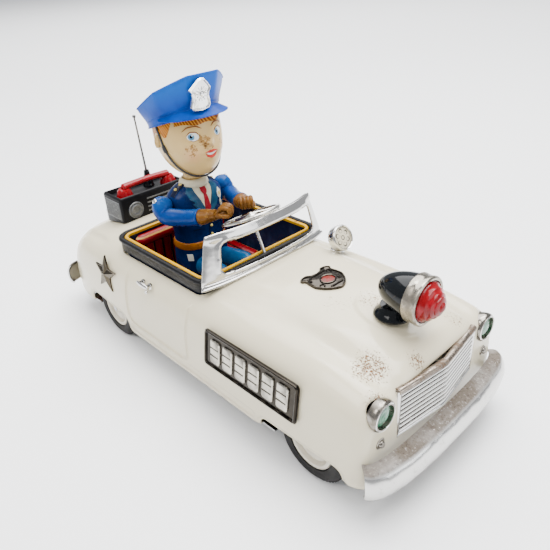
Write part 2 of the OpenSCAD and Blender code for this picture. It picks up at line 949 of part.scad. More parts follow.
module wheel_pair(at) {
    for (side = [-1, 1])
        translate([at[0], side * wheel_y, at[1]])
            rotate([-90 * side, 0, 0]) children();
}

module tyre_solid() {
    h = tyre_w / 2;
    rotate_extrude()
        polygon([[hub_r - 1, -h], [14.6, -h], [16.2, -h + 0.8], [tyre_r, -h + 2.4], [tyre_r, h - 2.4],
                 [16.2, h - 0.8], [14.6, h], [hub_r, h], [hub_r, h - 1.6], [hub_r - 1, h - 1.6]]);
}

module hub_solid() {
    h = tyre_w / 2;
    rotate_extrude()
        polygon([[axle_r, -h], [hub_r - 1, -h], [hub_r - 1, h - 1.6], [hub_r, h - 1.6], [hub_r, h - 0.4],
                 [8.4, h - 0.2], [7.6, h - 1.4], [4, h - 1.2], [3, h - 0.2], [axle_r, h - 0.2]]);
}

module rear_tyres() {
    color("black") wheel_pair(rear_at) tyre_solid();
}

module front_tyres() {
    color("black") wheel_pair(front_at) tyre_solid();
}

module rear_hubs() {
    color("wheat") wheel_pair(rear_at) hub_solid();
}

module front_hubs() {
    color("wheat") wheel_pair(front_at) hub_solid();
}

body_shell();
base_plate();
cockpit_tray();
cockpit_rim();
rim_trim();
seat_back();
seat_cushion();
dashboard();
windshield_frame();
grille();
front_bumper();
rear_bumper();
headlight_rims();
headlight_lenses();
parking_lamps();
tail_lamps();
lamp_housing();
lamp_ring();
lamp_lens();
lamp_bulb();
siren_horn();
bonnet_badge();
side_plates();
star_badges();
door_handles();
driver_torso();
driver_legs();
driver_pins();
radio_box();
radio_handset();
antenna_base();
antenna_rod();
motor_can();
gearbox_plates();
battery_cells();
battery_box();
battery_contacts();
base_screws();
steering_wheel();
steering_column();
driver_head();
driver_cap();
cap_badge();
chin_strap();
right_arm();
right_glove();
left_arm();
left_glove();
rear_axle();
rear_tyres();
rear_hubs();
axle_gear();
front_axle();
front_tyres();
front_hubs();
idler_gear();
motor_pinion();
battery_door();
switch_lever();
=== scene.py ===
# %% [markdown]
# # A tin police car with its driver
#
# This toy is pressed from thin tinplate, painted ivory, and trimmed with plated and printed tin.
# The working model (bodies, joints, sizes) comes from the CAD frame; every visible piece is then made
# here at the place the frame gives. Shapes are worked out in millimetres, because the toy was drawn in
# them, and one function turns them into metres at the moment a mesh is made.

# %% Load the frame
import math
import bmesh
import bpy
import numpy as np
from mathutils import Matrix, Vector


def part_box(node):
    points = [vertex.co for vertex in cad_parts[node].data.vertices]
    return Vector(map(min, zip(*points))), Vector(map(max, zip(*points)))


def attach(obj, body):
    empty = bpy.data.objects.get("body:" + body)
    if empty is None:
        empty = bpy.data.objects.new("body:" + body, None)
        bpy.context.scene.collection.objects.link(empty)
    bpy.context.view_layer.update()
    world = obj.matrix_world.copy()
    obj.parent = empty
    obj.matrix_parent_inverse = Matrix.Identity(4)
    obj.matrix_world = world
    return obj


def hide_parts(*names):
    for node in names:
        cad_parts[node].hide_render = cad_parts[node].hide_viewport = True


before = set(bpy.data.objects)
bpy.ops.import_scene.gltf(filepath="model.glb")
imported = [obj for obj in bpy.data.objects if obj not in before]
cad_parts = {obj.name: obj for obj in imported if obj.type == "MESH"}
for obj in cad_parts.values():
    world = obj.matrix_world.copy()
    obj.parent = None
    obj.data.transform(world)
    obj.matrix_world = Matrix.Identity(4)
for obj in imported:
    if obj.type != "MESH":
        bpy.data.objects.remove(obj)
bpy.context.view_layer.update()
MM = 0.001


def box_mm(node):
    """Lowest corner, highest corner and middle of a CAD node, in millimetres."""
    low, high = (np.array(corner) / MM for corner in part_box(node))
    return low, high, (low + high) / 2


# %% [markdown]
# ## Camera, floor and light
#
# The camera stands in front of the car's right side and looks down on it. A camera's axes are three
# directions at right angles, so its turn can be written straight from azimuth, elevation and roll.
# The floor is a plain pale sheet, and four large soft lamps stand in for a light tent: large lamps give
# long soft reflections in the paint, which is what shows that tin is shiny and slightly uneven.

# %% Camera
def aim_camera(azimuth, elevation, roll, target, distance, lens):
    a, e, r = (math.radians(v) for v in (azimuth, elevation, roll))
    back = Vector((math.sin(a) * math.cos(e), -math.cos(a) * math.cos(e), math.sin(e)))
    side = Vector((math.cos(a), math.sin(a), 0))
    up = back.cross(side)
    right = side * math.cos(r) + up * math.sin(r)
    top = up * math.cos(r) - side * math.sin(r)
    camera = bpy.data.objects.new("camera", bpy.data.cameras.new("camera"))
    bpy.context.scene.collection.objects.link(camera)
    turn = Matrix((right, top, back)).transposed()
    camera.matrix_world = Matrix.Translation((Vector(target) + back * distance) * MM) @ turn.to_4x4()
    camera.data.lens = lens
    camera.data.sensor_width = 36
    camera.data.clip_start, camera.data.clip_end = 0.01, 20
    bpy.context.scene.camera = camera
    return camera


camera = aim_camera(azimuth=47.91, elevation=30.08, roll=-3.81, target=(20.57, 0, 50.83),
                    distance=271.95, lens=36.565)
print("camera at", [round(v, 3) for v in camera.location])


# %% [markdown]
# A finish is a small tree of shader nodes. Writing shader maths as ordinary Python sums keeps it
# readable, so one small class wraps an output socket: adding or multiplying two of them adds a Math node.
# A Finish holds the tree, and its one method `node` makes any other node from its type, its settings and
# its sockets. What changes over the surface goes to colour, roughness, metal or bump only.

# %% Shader helpers
def maths(operation, swapped=False):
    """A method that adds one Math node. Swapped, its wire comes last."""
    def method(wire, *others):
        return wire.math(operation, *((*others, wire) if swapped else (wire, *others)))
    return method


class Wire:
    """An output socket of a finish. Arithmetic on it adds Math nodes."""
    __add__, __radd__ = maths("ADD"), maths("ADD", swapped=True)
    __sub__, __rsub__ = maths("SUBTRACT"), maths("SUBTRACT", swapped=True)
    __mul__, __rmul__ = maths("MULTIPLY"), maths("MULTIPLY", swapped=True)
    __truediv__, __pow__ = maths("DIVIDE"), maths("POWER")
    over, sine, cosine = maths("MAXIMUM"), maths("SINE"), maths("COSINE")

    def __init__(self, finish, socket):
        self.finish = finish
        self.socket = socket

    def math(self, operation, *values):
        return self.finish.node("ShaderNodeMath", {"operation": operation}, dict(enumerate(values)))

    def out(self, name):
        return Wire(self.finish, self.socket.node.outputs[name])

    def above(self, start, end):
        """0 below start, 1 above end, smooth between them. With end under start it falls instead."""
        if end < start:
            return 1 - self.above(end, start)
        settings = {"interpolation_type": "SMOOTHSTEP"}
        sockets = {"Value": self, "From Min": start, "From Max": end}
        return self.finish.node("ShaderNodeMapRange", settings, sockets)


class Finish:
    """A material whose Principled shader is called surface."""

    def __init__(self, name, color, roughness=0.4, **shader):
        self.material = bpy.data.materials.new(name)
        self.material.use_nodes = True
        self.tree = self.material.node_tree
        self.surface = self.tree.nodes["Principled BSDF"]
        self.set(**{"Base Color": (*color, 1), "Roughness": roughness})
        self.set(**{key.replace("_", " "): value for key, value in shader.items()})
        coordinates = self.tree.nodes.new("ShaderNodeTexCoord")
        self.place = Wire(self, coordinates.outputs["Object"])
        self.color = color
        self.bumps = None

    def node(self, kind, settings=None, sockets=None):
        made = self.tree.nodes.new(kind)
        for key, value in (settings or {}).items():
            if key == "stops":
                self.set_stops(made.color_ramp, value)
            else:
                setattr(made, key, value)
        for key, value in (sockets or {}).items():
            self.feed(self.find(made, key), value)
        return Wire(self, next(o for o in made.outputs if o.enabled))

    @staticmethod
    def find(made, key):
        if isinstance(key, int):
            return made.inputs[key]
        return next(i for i in made.inputs if i.enabled and key in (i.identifier, i.name))

    @staticmethod
    def set_stops(ramp, stops):
        while len(ramp.elements) < len(stops):
            ramp.elements.new(0.5)
        for element, (place, color) in zip(ramp.elements, stops):
            element.position = place
            element.color = (*color, 1) if isinstance(color, tuple) else (color, color, color, 1)

    def feed(self, socket, value):
        if isinstance(value, Wire):
            self.tree.links.new(value.socket, socket)
        elif isinstance(value, tuple) and len(value) == 3 and socket.type == "RGBA":
            socket.default_value = (*value, 1)
        else:
            socket.default_value = value

    def set(self, **sockets):
        for key, value in sockets.items():
            self.feed(self.surface.inputs[key], value)

    def axes(self):
        """The surface point's x, y and z in millimetres."""
        split = self.node("ShaderNodeSeparateXYZ", {}, {0: self.place})
        return [split.out(axis) * 1000 for axis in "XYZ"]

    def noise(self, grain, detail=3, roughness=0.55, seed=0, stretch=(1, 1, 1)):
        """Noise whose blobs are about grain millimetres across."""
        mapping = {"Vector": self.place, "Location": (seed, seed * 1.7, 0), "Scale": stretch}
        moved = self.node("ShaderNodeMapping", {}, mapping)
        sockets = {"Vector": moved, "Scale": 1000 / grain, "Detail": detail, "Roughness": roughness}
        return self.node("ShaderNodeTexNoise", {}, sockets)

    def mix(self, share, first, second):
        sockets = {"Factor": share, "A": first, "B": second}
        return self.node("ShaderNodeMix", {"data_type": "RGBA"}, sockets)

    def paint(self, share, color):
        """Lays a colour over what is there, by share."""
        self.color = self.mix(share, self.color, color)
        self.set(**{"Base Color": self.color})
        return self

    def bump(self, height, depth):
        """Adds a height field, depth millimetres deep, to the surface's normal."""
        sockets = {"Height": height, "Distance": depth * MM, "Strength": 1.0}
        if self.bumps is not None:
            sockets["Normal"] = self.bumps
        self.bumps = self.node("ShaderNodeBump", {}, sockets)
        self.set(Normal=self.bumps)
        return self


def near(finish, axes, middle, reach):
    """1 at a point, falling to 0 at reach millimetres from it."""
    offset = [(axis - m) ** 2 for axis, m in zip(axes, middle)]
    return ((offset[0] + offset[1] + offset[2]) ** 0.5).above(reach, reach * 0.15)


# %% Floor and light
def area_light(name, place, target, size, power, tint=(1, 1, 1)):
    lamp = bpy.data.lights.new(name, "AREA")
    lamp.shape, lamp.size, lamp.size_y = "RECTANGLE", size[0], size[1]
    lamp.energy, lamp.color = power, tint
    holder = bpy.data.objects.new(name, lamp)
    bpy.context.scene.collection.objects.link(holder)
    holder.location = place
    holder.rotation_mode = "QUATERNION"
    holder.rotation_quaternion = (Vector(place) - Vector(target)).to_track_quat("Z", "Y")


def make_stage():
    mesh = bpy.data.meshes.new("floor")
    reach = 8.0
    mesh.from_pydata([(-reach, -reach, 0), (reach, -reach, 0), (reach, reach, 0), (-reach, reach, 0)],
                     [], [(0, 1, 2, 3)])
    floor = bpy.data.objects.new("floor", mesh)
    bpy.context.scene.collection.objects.link(floor)
    sheet = Finish("pale_floor", (0.92, 0.925, 0.93), 0.55)
    grain = sheet.noise(900, detail=2)
    sheet.paint(grain.above(0.4, 0.7) * 0.3, (0.87, 0.875, 0.88))
    mesh.materials.append(sheet.material)
    world = bpy.data.worlds.new("light_tent")
    world.use_nodes = True
    tent = world.node_tree.nodes["Background"].inputs
    tent["Color"].default_value, tent["Strength"].default_value = (0.93, 0.95, 1.0, 1), 0.62
    bpy.context.scene.world = world
    middle = (0, 0, 0.05)
    area_light("key", (-0.05, -0.55, 0.75), middle, (0.45, 0.45), 5.0, (1.0, 0.98, 0.94))
    area_light("top", (0.1, 0.15, 0.9), middle, (0.8, 0.7), 19.0)
    area_light("backdrop", (-1.1, 1.0, 1.6), (-1.3, 1.2, 0), (2.4, 2.4), 120.0)
    area_light("fill", (0.8, 0.2, 0.35), middle, (0.5, 0.4), 2.2, (0.95, 0.97, 1.0))


make_stage()


# %% [markdown]
# ## Making meshes
#
# Most pieces of a tin toy are one of a few kinds: turned (a profile spun on an axis), lofted (a row of
# cross-sections) or bent from sheet (a grid of points). One helper per kind returns points and faces, and
# `piece` turns them into an object: it welds doubled points, points the faces outwards, marks the sharp
# edges, and lets the piece ride on the CAD body it belongs to.

# %% Mesh helpers
def piece(name, shape, finish, body="car", stands_for=(), crease=35, closed=True):
    """An object from (points in mm, faces). A closed shape's faces are turned outwards."""
    points, faces = shape
    mesh = bpy.data.meshes.new(name)
    mesh.from_pydata((np.asarray(points, float) * MM).tolist(), [], [tuple(map(int, f)) for f in faces])
    work = bmesh.new()
    work.from_mesh(mesh)
    bmesh.ops.remove_doubles(work, verts=work.verts, dist=0.002 * MM)
    bmesh.ops.dissolve_degenerate(work, dist=0.001 * MM, edges=work.edges)
    if closed:
        bmesh.ops.recalc_face_normals(work, faces=work.faces)
    work.to_mesh(mesh)
    work.free()
    return dress(bpy.data.objects.new(name, mesh), finish, body, stands_for, crease)


def refinish(made, finish):
    """Gives a node of the CAD model the finish of the real metal."""
    made.data.materials.clear()
    made.data.materials.append(finish.material)


def dress(made, finish, body="car", stands_for=(), crease=35):
    """Links a finished object, gives it its finish and lets it ride."""
    if made.name not in bpy.context.scene.collection.objects:
        bpy.context.scene.collection.objects.link(made)
    mesh = made.data
    mesh.polygons.foreach_set("use_smooth", [True] * len(mesh.polygons))
    mesh.set_sharp_from_angle(angle=math.radians(crease))
    if not mesh.materials:
        mesh.materials.append(finish.material)
    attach(made, body)
    if stands_for:
        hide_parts(*stands_for)
    return made


def rings_to_faces(count, around, wrap=True):
    """Faces between count rings of around points each."""
    j, i = np.meshgrid(np.arange(count - 1), np.arange(around if wrap else around - 1), indexing="ij")
    k = (i + 1) % around
    a, b = j * around, (j + 1) * around
    return np.stack([a + i, a + k, b + k, b + i], -1).reshape(-1, 4)


def lofted(rings, wrap=True, caps=True):
    """Points and faces through rings of equal size."""
    rings = np.asarray(rings, float)
    count, around = rings.shape[:2]
    faces = [list(f) for f in rings_to_faces(count, around, wrap)]
    if caps:
        faces += [list(range(around)), list(range((count - 1) * around, count * around))]
    return rings.reshape(-1, 3), faces


def turned(profile, steps=64, axis="z", middle=(0, 0, 0)):
    """A profile of (radius, height) spun round an axis through middle."""
    profile = np.asarray(profile, float)
    angle = circle_angles(steps)
    r, h = profile[:, :1], profile[:, 1:]
    across, along, high = r * np.cos(angle), r * np.sin(angle), np.repeat(h, steps, 1)
    order = {"z": (across, along, high), "x": (high, across, along), "y": (across, -high, along)}[axis]
    return lofted(np.stack(order, -1) + np.asarray(middle, float), caps=False)


def circle_angles(steps):
    return np.linspace(0, 2 * math.pi, steps, endpoint=False)


def at_height(outline, z):
    """An outline in x and y, lifted to a height."""
    outline = np.asarray(outline, float)
    return np.column_stack([outline, np.broadcast_to(z, len(outline))])


def shifted(shape, offset):
    return np.asarray(shape[0], float) + offset, shape[1]


def joined(*shapes):
    """Several shapes as one."""
    points, faces, start = [], [], 0
    for p, f in shapes:
        points.append(np.asarray(p, float).reshape(-1, 3))
        faces += [[int(v) + start for v in face] for face in f]
        start += len(points[-1])
    return np.vstack(points), faces


def moved(shape, matrix):
    """A shape turned and shifted by a 4x4 matrix whose shift is in millimetres."""
    m = np.array(matrix, float)
    return shape[0] @ m[:3, :3].T + m[:3, 3], shape[1]


def mirrored(shape):
    """The same shape on the other side of the car."""
    return np.asarray(shape[0], float) * (1, -1, 1), [list(f)[::-1] for f in shape[1]]


def both_sides(shape):
    return joined(shape, mirrored(shape))


def arc(middle, radius, start, end, steps=8):
    """Points of an arc, its angles in degrees."""
    a = np.radians(np.linspace(start, end, steps))
    return [(middle[0] + radius * math.cos(v), middle[1] + radius * math.sin(v)) for v in a]


def rounded_outline(x0, x1, y0, y1, radius, steps=6):
    """Corners of a rectangle rounded off, in order round it."""
    corners = [(x1 - radius, y1 - radius, 0), (x0 + radius, y1 - radius, 90),
               (x0 + radius, y0 + radius, 180), (x1 - radius, y0 + radius, 270)]
    return [p for x, y, a in corners for p in arc((x, y), radius, a, a + 90, steps)]


def smooth_path(points, steps, closed=False):
    """A smooth curve through points, with steps points in all. A closed one leaves out its last."""
    points = np.asarray(points, float)
    along = np.concatenate([[0], np.cumsum(np.linalg.norm(np.diff(points, axis=0), axis=1))])
    at = np.linspace(0, along[-1], steps, endpoint=not closed)
    return np.stack([follow(list(zip(along, column)), at) for column in points.T], -1)


def follow(table, x):
    """A smooth curve through (place, value) pairs that never overshoots them."""
    xs, ys = np.array(table, float).T
    h = np.diff(xs)
    slope = np.diff(ys) / h
    m = np.concatenate([slope[:1], np.zeros(len(xs) - 2), slope[-1:]])
    before, after = 2 * h[1:] + h[:-1], h[1:] + 2 * h[:-1]
    same = slope[:-1] * slope[1:] > 0
    with np.errstate(divide="ignore", invalid="ignore"):
        m[1:-1] = np.where(same, (before + after) / (before / slope[:-1] + after / slope[1:]), 0)
    x = np.clip(np.asarray(x, float), xs[0], xs[-1])
    i = np.clip(np.searchsorted(xs, x, side="right") - 1, 0, len(xs) - 2)
    t = (x - xs[i]) / h[i]
    return ((1 + 2 * t) * (1 - t) ** 2 * ys[i] + t * (1 - t) ** 2 * h[i] * m[i]
            + t * t * (3 - 2 * t) * ys[i + 1] + t * t * (t - 1) * h[i] * m[i + 1])


def bar_rings(path, ahead, radius, sides, up, flat=1.0):
    """Round or oval sections across a path that runs in the directions ahead."""
    ahead = ahead / np.linalg.norm(ahead, axis=1, keepdims=True)
    side = np.cross(ahead, np.asarray(up, float))
    side /= np.linalg.norm(side, axis=1, keepdims=True)
    high = np.cross(side, ahead)
    a = circle_angles(sides)
    radius = np.broadcast_to(np.asarray(radius, float), len(path))[:, None, None]
    return path[:, None] + radius * (np.cos(a)[None, :, None] * side[:, None]
                                     + flat * np.sin(a)[None, :, None] * high[:, None])


def tube(path, radius, sides=12, flat=1.0, up=(0, 0, 1)):
    """A round or oval bar along a path. radius is one number or one for each point."""
    path = np.asarray(path, float)
    return lofted(bar_rings(path, np.gradient(path, axis=0), radius, sides, up, flat))


def closed_tube(path, radius, sides=10, up=(0, 0, 1)):
    """A round bar along a closed loop of points."""
    path = np.asarray(path, float)
    rings = bar_rings(path, np.roll(path, -1, 0) - np.roll(path, 1, 0), radius, sides, up)
    return lofted(np.concatenate([rings, rings[:1]]), caps=False)


def slab(outline, low, high):
    """An outline in x and y, made solid between two heights."""
    return lofted([at_height(outline, z) for z in (low, high)])


def block(x0, x1, y0, y1, z0, z1):
    return slab([(x0, y0), (x1, y0), (x1, y1), (x0, y1)], z0, z1)


# %% [markdown]
# ## Geometry Nodes for what repeats
#
# Tread blocks, ribs, pleats and screws are one small shape many times over. A node tree that puts its
# own input shape on a row of points, or on a ring of points, makes them all: its named inputs are the
# count and the spacing, so the row can be changed without touching a vertex. The copies are made real
# and given their finish at the end of the tree, then the result is turned into a plain mesh.

# %% Node trees that repeat a shape
def new_tree(name, inputs):
    tree = bpy.data.node_groups.new(name, "GeometryNodeTree")
    tree.interface.new_socket("Geometry", in_out="INPUT", socket_type="NodeSocketGeometry")
    tree.interface.new_socket("Geometry", in_out="OUTPUT", socket_type="NodeSocketGeometry")
    for label, kind in inputs.items():
        tree.interface.new_socket(label, in_out="INPUT", socket_type="NodeSocket" + kind)
    return tree


def tree_node(tree, kind, settings=None, sockets=None):
    """A node with its settings and with values or links on its sockets."""
    made = tree.nodes.new(kind)
    for key, value in (settings or {}).items():
        setattr(made, key, value)
    for key, value in (sockets or {}).items():
        socket = made.inputs[key]
        if isinstance(value, bpy.types.NodeSocket):
            tree.links.new(value, socket)
        else:
            socket.default_value = value
    return made


def finish_tree(tree, instances, given):
    """Realize Instances, Set Material and the group's output."""
    real = tree_node(tree, "GeometryNodeRealizeInstances", {}, {"Geometry": instances})
    painted = tree_node(tree, "GeometryNodeSetMaterial", {},
                        {"Geometry": real.outputs["Geometry"], "Material": given.outputs["Finish"]})
    tree_node(tree, "NodeGroupOutput", {}, {"Geometry": painted.outputs["Geometry"]})


def row_tree():
    """Puts its input shape on a straight row of points."""
    tree = new_tree("row_of_copies", {"Count": "Int", "Step": "Vector", "Finish": "Material"})
    given = tree_node(tree, "NodeGroupInput")
    line = tree_node(tree, "GeometryNodeMeshLine", {"mode": "OFFSET"},
                     {"Count": given.outputs["Count"], "Offset": given.outputs["Step"]})
    copies = tree_node(tree, "GeometryNodeInstanceOnPoints", {},
                       {"Points": line.outputs["Mesh"], "Instance": given.outputs["Geometry"]})
    finish_tree(tree, copies.outputs["Instances"], given)
    return tree


def ring_tree():
    """Puts its input shape round an axis, turned a little further each time."""
    tree = new_tree("ring_of_copies", {"Count": "Int", "Axis": "Vector", "Middle": "Vector",
                                       "Finish": "Material"})
    given = tree_node(tree, "NodeGroupInput")
    points = tree_node(tree, "GeometryNodePoints", {},
                       {"Count": given.outputs["Count"], "Position": given.outputs["Middle"]})
    index = tree_node(tree, "GeometryNodeInputIndex")
    share = tree_node(tree, "ShaderNodeMath", {"operation": "DIVIDE"},
                      {0: index.outputs[0], 1: given.outputs["Count"]})
    angle = tree_node(tree, "ShaderNodeMath", {"operation": "MULTIPLY"},
                      {0: share.outputs[0], 1: 2 * math.pi})
    turn = tree_node(tree, "FunctionNodeAxisAngleToRotation", {},
                     {"Axis": given.outputs["Axis"], "Angle": angle.outputs[0]})
    copies = tree_node(tree, "GeometryNodeInstanceOnPoints", {},
                       {"Points": points.outputs[0], "Instance": given.outputs["Geometry"],
                        "Rotation": turn.outputs[0]})
    finish_tree(tree, copies.outputs["Instances"], given)
    return tree


def spots_tree():
    """Puts its input shape on every point of another object's mesh."""
    tree = new_tree("copies_on_spots", {"Spots": "Object", "Finish": "Material"})
    given = tree_node(tree, "NodeGroupInput")
    spots = tree_node(tree, "GeometryNodeObjectInfo", {}, {"Object": given.outputs["Spots"]})
    copies = tree_node(tree, "GeometryNodeInstanceOnPoints", {},
                       {"Points": spots.outputs["Geometry"], "Instance": given.outputs["Geometry"]})
    finish_tree(tree, copies.outputs["Instances"], given)
    return tree


TREES = {"row": row_tree(), "ring": ring_tree(), "spots": spots_tree()}


def plain_object(name, shape):
    """An object with a mesh in metres and nothing else."""
    mesh = bpy.data.meshes.new(name)
    mesh.from_pydata((np.asarray(shape[0], float) * MM).tolist(), [], [list(map(int, f)) for f in shape[1]])
    work = bmesh.new()
    work.from_mesh(mesh)
    bmesh.ops.remove_doubles(work, verts=work.verts, dist=0.002 * MM)
    if mesh.polygons:
        bmesh.ops.recalc_face_normals(work, faces=work.faces)
    work.to_mesh(mesh)
    work.free()
    made = bpy.data.objects.new(name, mesh)
    bpy.context.scene.collection.objects.link(made)
    return made


def repeated(name, kind, shape, finish, **inputs):
    """The shape that a tree makes from one unit, as plain points in mm and faces."""
    unit = plain_object(name + "_unit", shape)
    modifier = unit.modifiers.new("copies", "NODES")
    modifier.node_group = TREES[kind]
    inputs["Finish"] = finish.material
    for item in TREES[kind].interface.items_tree:
        if item.in_out == "INPUT" and item.name in inputs:
            modifier[item.identifier] = inputs[item.name]
    evaluated = unit.evaluated_get(bpy.context.evaluated_depsgraph_get())
    mesh = bpy.data.meshes.new_from_object(evaluated)
    points = np.zeros(len(mesh.vertices) * 3)
    mesh.vertices.foreach_get("co", points)
    faces = [list(p.vertices) for p in mesh.polygons]
    bpy.data.objects.remove(unit)
    bpy.data.meshes.remove(mesh)
    return points.reshape(-1, 3) / MM, faces


print("node trees:", ", ".join(tree.name for tree in TREES.values()))


# %% [markdown]
# ## Finishes of the metalwork
#
# The paint is baked enamel: a hard ivory gloss with a faint waviness. Where it has been knocked, small
# pits have rusted brown, and they gather in patches, so the rust is a fine noise that is only let through
# where a coarse noise is strong. Plated parts are bright, and grey-brown in patches where they have dulled.

# %% Enamel and plating
IVORY = (0.67, 0.605, 0.44)
RUST = (0.17, 0.070, 0.020)


def rusted(finish, axes, spots, even=0.0, seed=3):
    """Lays pits of rust on a finish: thick round the given spots, thin everywhere else."""
    fine = finish.noise(0.8, detail=5, roughness=0.75, seed=seed)
    coarse = finish.noise(14, detail=2, seed=seed + 4)
    gather = coarse.above(0.62, 0.8) * even
    for middle, reach, strength in spots:
        gather = gather.over(near(finish, axes, middle, reach) * strength)
    pits = (fine + gather * 0.30).above(0.72, 0.78)
    stain = (fine * 0.6 + coarse * 0.2 + gather * 0.34).above(0.70, 0.95)
    finish.paint(stain * 0.5, (0.50, 0.33, 0.14))
    finish.paint(pits, RUST)
    return pits


def enamel(name, color, spots=(), even=0.35, seed=3):
    made = Finish(name, color, 0.18, Coat_Weight=0.15, Coat_Roughness=0.05, Specular_IOR_Level=0.4)
    axes = made.axes()
    tone = made.noise(35, detail=2, seed=seed)
    made.paint(tone.above(0.45, 0.75) * 0.25, tuple(c * 0.90 for c in color))
    low = axes[2].above(22, 12)
    made.paint(low * made.noise(6, seed=8).above(0.4, 0.7) * 0.45, (0.46, 0.40, 0.31))
    pits = rusted(made, axes, spots, even, seed)
    made.set(Roughness=0.16 + pits * 0.6 + tone * 0.06)
    made.bump(made.noise(22, detail=1, seed=seed + 1), 0.35)
    made.bump(made.noise(0.5, detail=2, seed=seed + 2), 0.004)
    return made.bump(1 - pits, 0.08)


def plated(name, color=(0.62, 0.61, 0.59), worn=0.4, seed=1, rust=0.25, dulled=(0.27, 0.25, 0.22)):
    """Bright plating that has dulled in patches and rusted in a few."""
    made = Finish(name, color, 0.2, Metallic=1.0)
    patch = made.noise(7, detail=5, roughness=0.65, seed=seed)
    fine = made.noise(0.9, detail=4, roughness=0.7, seed=seed + 2)
    dull = (patch * 0.7 + fine * 0.3).above(0.66 - worn * 0.28, 0.86 - worn * 0.28)
    bad = (patch * 0.5 + fine * 0.5).above(0.74 - rust * 0.22, 0.80 - rust * 0.2)
    made.paint(dull * 0.75, dulled)
    made.paint(bad, (0.13, 0.075, 0.04))
    made.set(Roughness=0.16 + dull * 0.3 + bad * 0.45, Metallic=1 - bad * 0.85)
    made.bump(made.noise(9, detail=2, seed=seed + 5), 0.25)
    return made.bump(1 - bad * 0.8 - dull * 0.2, 0.05)


body_rust = [((99, -27, 53), 14, 0.80), ((78, 2, 61), 14, 0.62), ((109, -12, 52), 9, 0.75),
             ((109, -36, 48), 10, 0.70), ((68, -10, 61), 18, 0.45), ((106, 20, 54), 10, 0.60),
             ((45, -25, 60), 20, 0.20), ((96, -47, 20), 10, 0.40), ((-100, -40, 50), 12, 0.25)]
ivory_enamel = enamel("ivory_enamel", IVORY, body_rust)
bright_plate = plated("bright_plate", worn=0.35)
print("finishes:", ivory_enamel.material.name, bright_plate.material.name)


# %% [markdown]
# ## The body pressing
#
# One sheet of tin is pressed into sides, bonnet, deck and both ends. A pressing has no creases unless the
# tool had them, so its shape is a rule: width, shoulder height and crown height change slowly along the
# car, and each cross-section is a squared ellipse between them. The surface is a grid of points from that
# rule. Openings are not cut afterwards: cells inside an opening are left out, and the points on its edge
# are slid along the surface until they lie on the outline, which leaves a clean edge and smooth shading.

# %% Rule of the body's surface
REAR, FRONT, SILL = -119.5, 111.5, 12.2
SQUARENESS = 4.4
WIDTH = [(-119.5, 38.6), (-110, 43.8), (-100, 46), (-80, 47.6), (-50, 48.7), (45, 48.7), (85, 48.2),
         (100, 47.6), (111.5, 46.6)]
SHOULDER = [(-119.5, 43.6), (-110, 48.6), (-100, 51.5), (-80, 55), (-60, 57), (40, 57.4), (80, 57),
            (98, 55.8), (111.5, 53.6)]
CROWN = [(-119.5, 44.6), (-110, 49.8), (-100, 53), (-80, 56.6), (-60, 58.2), (16, 59), (50, 61), (75, 60.4),
         (92, 58), (102, 55.2), (111.5, 52.6)]
VALLEY = [(-119.5, 0), (20, 0), (50, 1.8), (85, 3.2), (100, 3.2), (111.5, 2.6)]
ROUND = 7.5              # length over which the sheet turns down at each end
TURN_IN = 3.6            # how far it has turned in when it meets the end panel
PANEL = 40               # end panels are drawn as rings that shrink over this length


def bell(value, middle, spread):
    return np.exp(-((value - middle) / spread) ** 2)


def body_point(s, a):
    """The surface at s along the car and angle a round it. Past each end, s runs in over the end panel."""
    x = np.clip(s, REAR, FRONT)
    beyond = np.maximum(s - FRONT, REAR - s).clip(0, PANEL)
    u = np.maximum(x - (FRONT - ROUND), REAR + ROUND - x).clip(0, ROUND) / ROUND
    edge = TURN_IN * (1 - np.sqrt((1 - u * u).clip(0, 1)))
    width = follow(WIDTH, x) - edge
    shoulder = follow(SHOULDER, x) - edge
    crown = follow(CROWN, x) - edge * 1.1
    c, up = np.cos(a), np.sin(a).clip(0, 1)
    v = np.sign(c) * np.abs(c) ** (2 / SQUARENESS)
    rise = up ** (2 / SQUARENESS)
    top = (crown - shoulder) * (1 - v * v) - follow(VALLEY, x) * bell(np.abs(v), 0.62, 0.12)
    y = width * v
    z = SILL + (shoulder - SILL) * rise + top * rise ** 6
    k = 1 - beyond / PANEL
    bulge = np.where(s > FRONT, 0.9, -2.2) * (1 - k * k) * (beyond > 0)
    return np.stack([x + bulge, y * k, SILL + (z - SILL) * k], -1)


def body_normal(s, a):
    d = 0.05
    along = body_point(s + d, a) - body_point(s - d, a)
    around = body_point(s, (a + 0.002).clip(0, math.pi)) - body_point(s, (a - 0.002).clip(0, math.pi))
    n = np.cross(around, along)
    return -n / np.linalg.norm(n, axis=-1, keepdims=True).clip(1e-9, None)


def rounded_rect(u, v, u0, u1, v0, v1, r):
    """Distance to a rectangle with round corners, negative inside it."""
    qu = np.abs(u - (u0 + u1) / 2) - (u1 - u0) / 2 + r
    qv = np.abs(v - (v0 + v1) / 2) - (v1 - v0) / 2 + r
    return np.hypot(qu.clip(0, None), qv.clip(0, None)) + np.minimum(np.maximum(qu, qv), 0) - r


# %% Openings in the body
rim_low, rim_high = box_mm("cockpit_rim")[:2]
head_low, head_high, head_mid = box_mm("headlight_rims")
grille_low, grille_high = box_mm("grille")[:2]
tail_low, tail_high, tail_mid = box_mm("tail_lamps")
parking_low, parking_high, parking_mid = box_mm("parking_lamps")
lever_low, lever_high, lever_mid = box_mm("switch_lever")
rear_wheel, front_wheel = box_mm("rear_tyres")[2], box_mm("front_tyres")[2]
HEAD_R = (head_high[2] - head_low[2]) / 2
HEAD_Y = head_high[1] - HEAD_R
TAIL_R = (tail_high[2] - tail_low[2]) / 2
ARCHES = [(rear_wheel[0] - 26, rear_wheel[0] + 18, 20.6, 7),
          (front_wheel[0] - 27, front_wheel[0] + 17.5, 17.4, 4.5)]


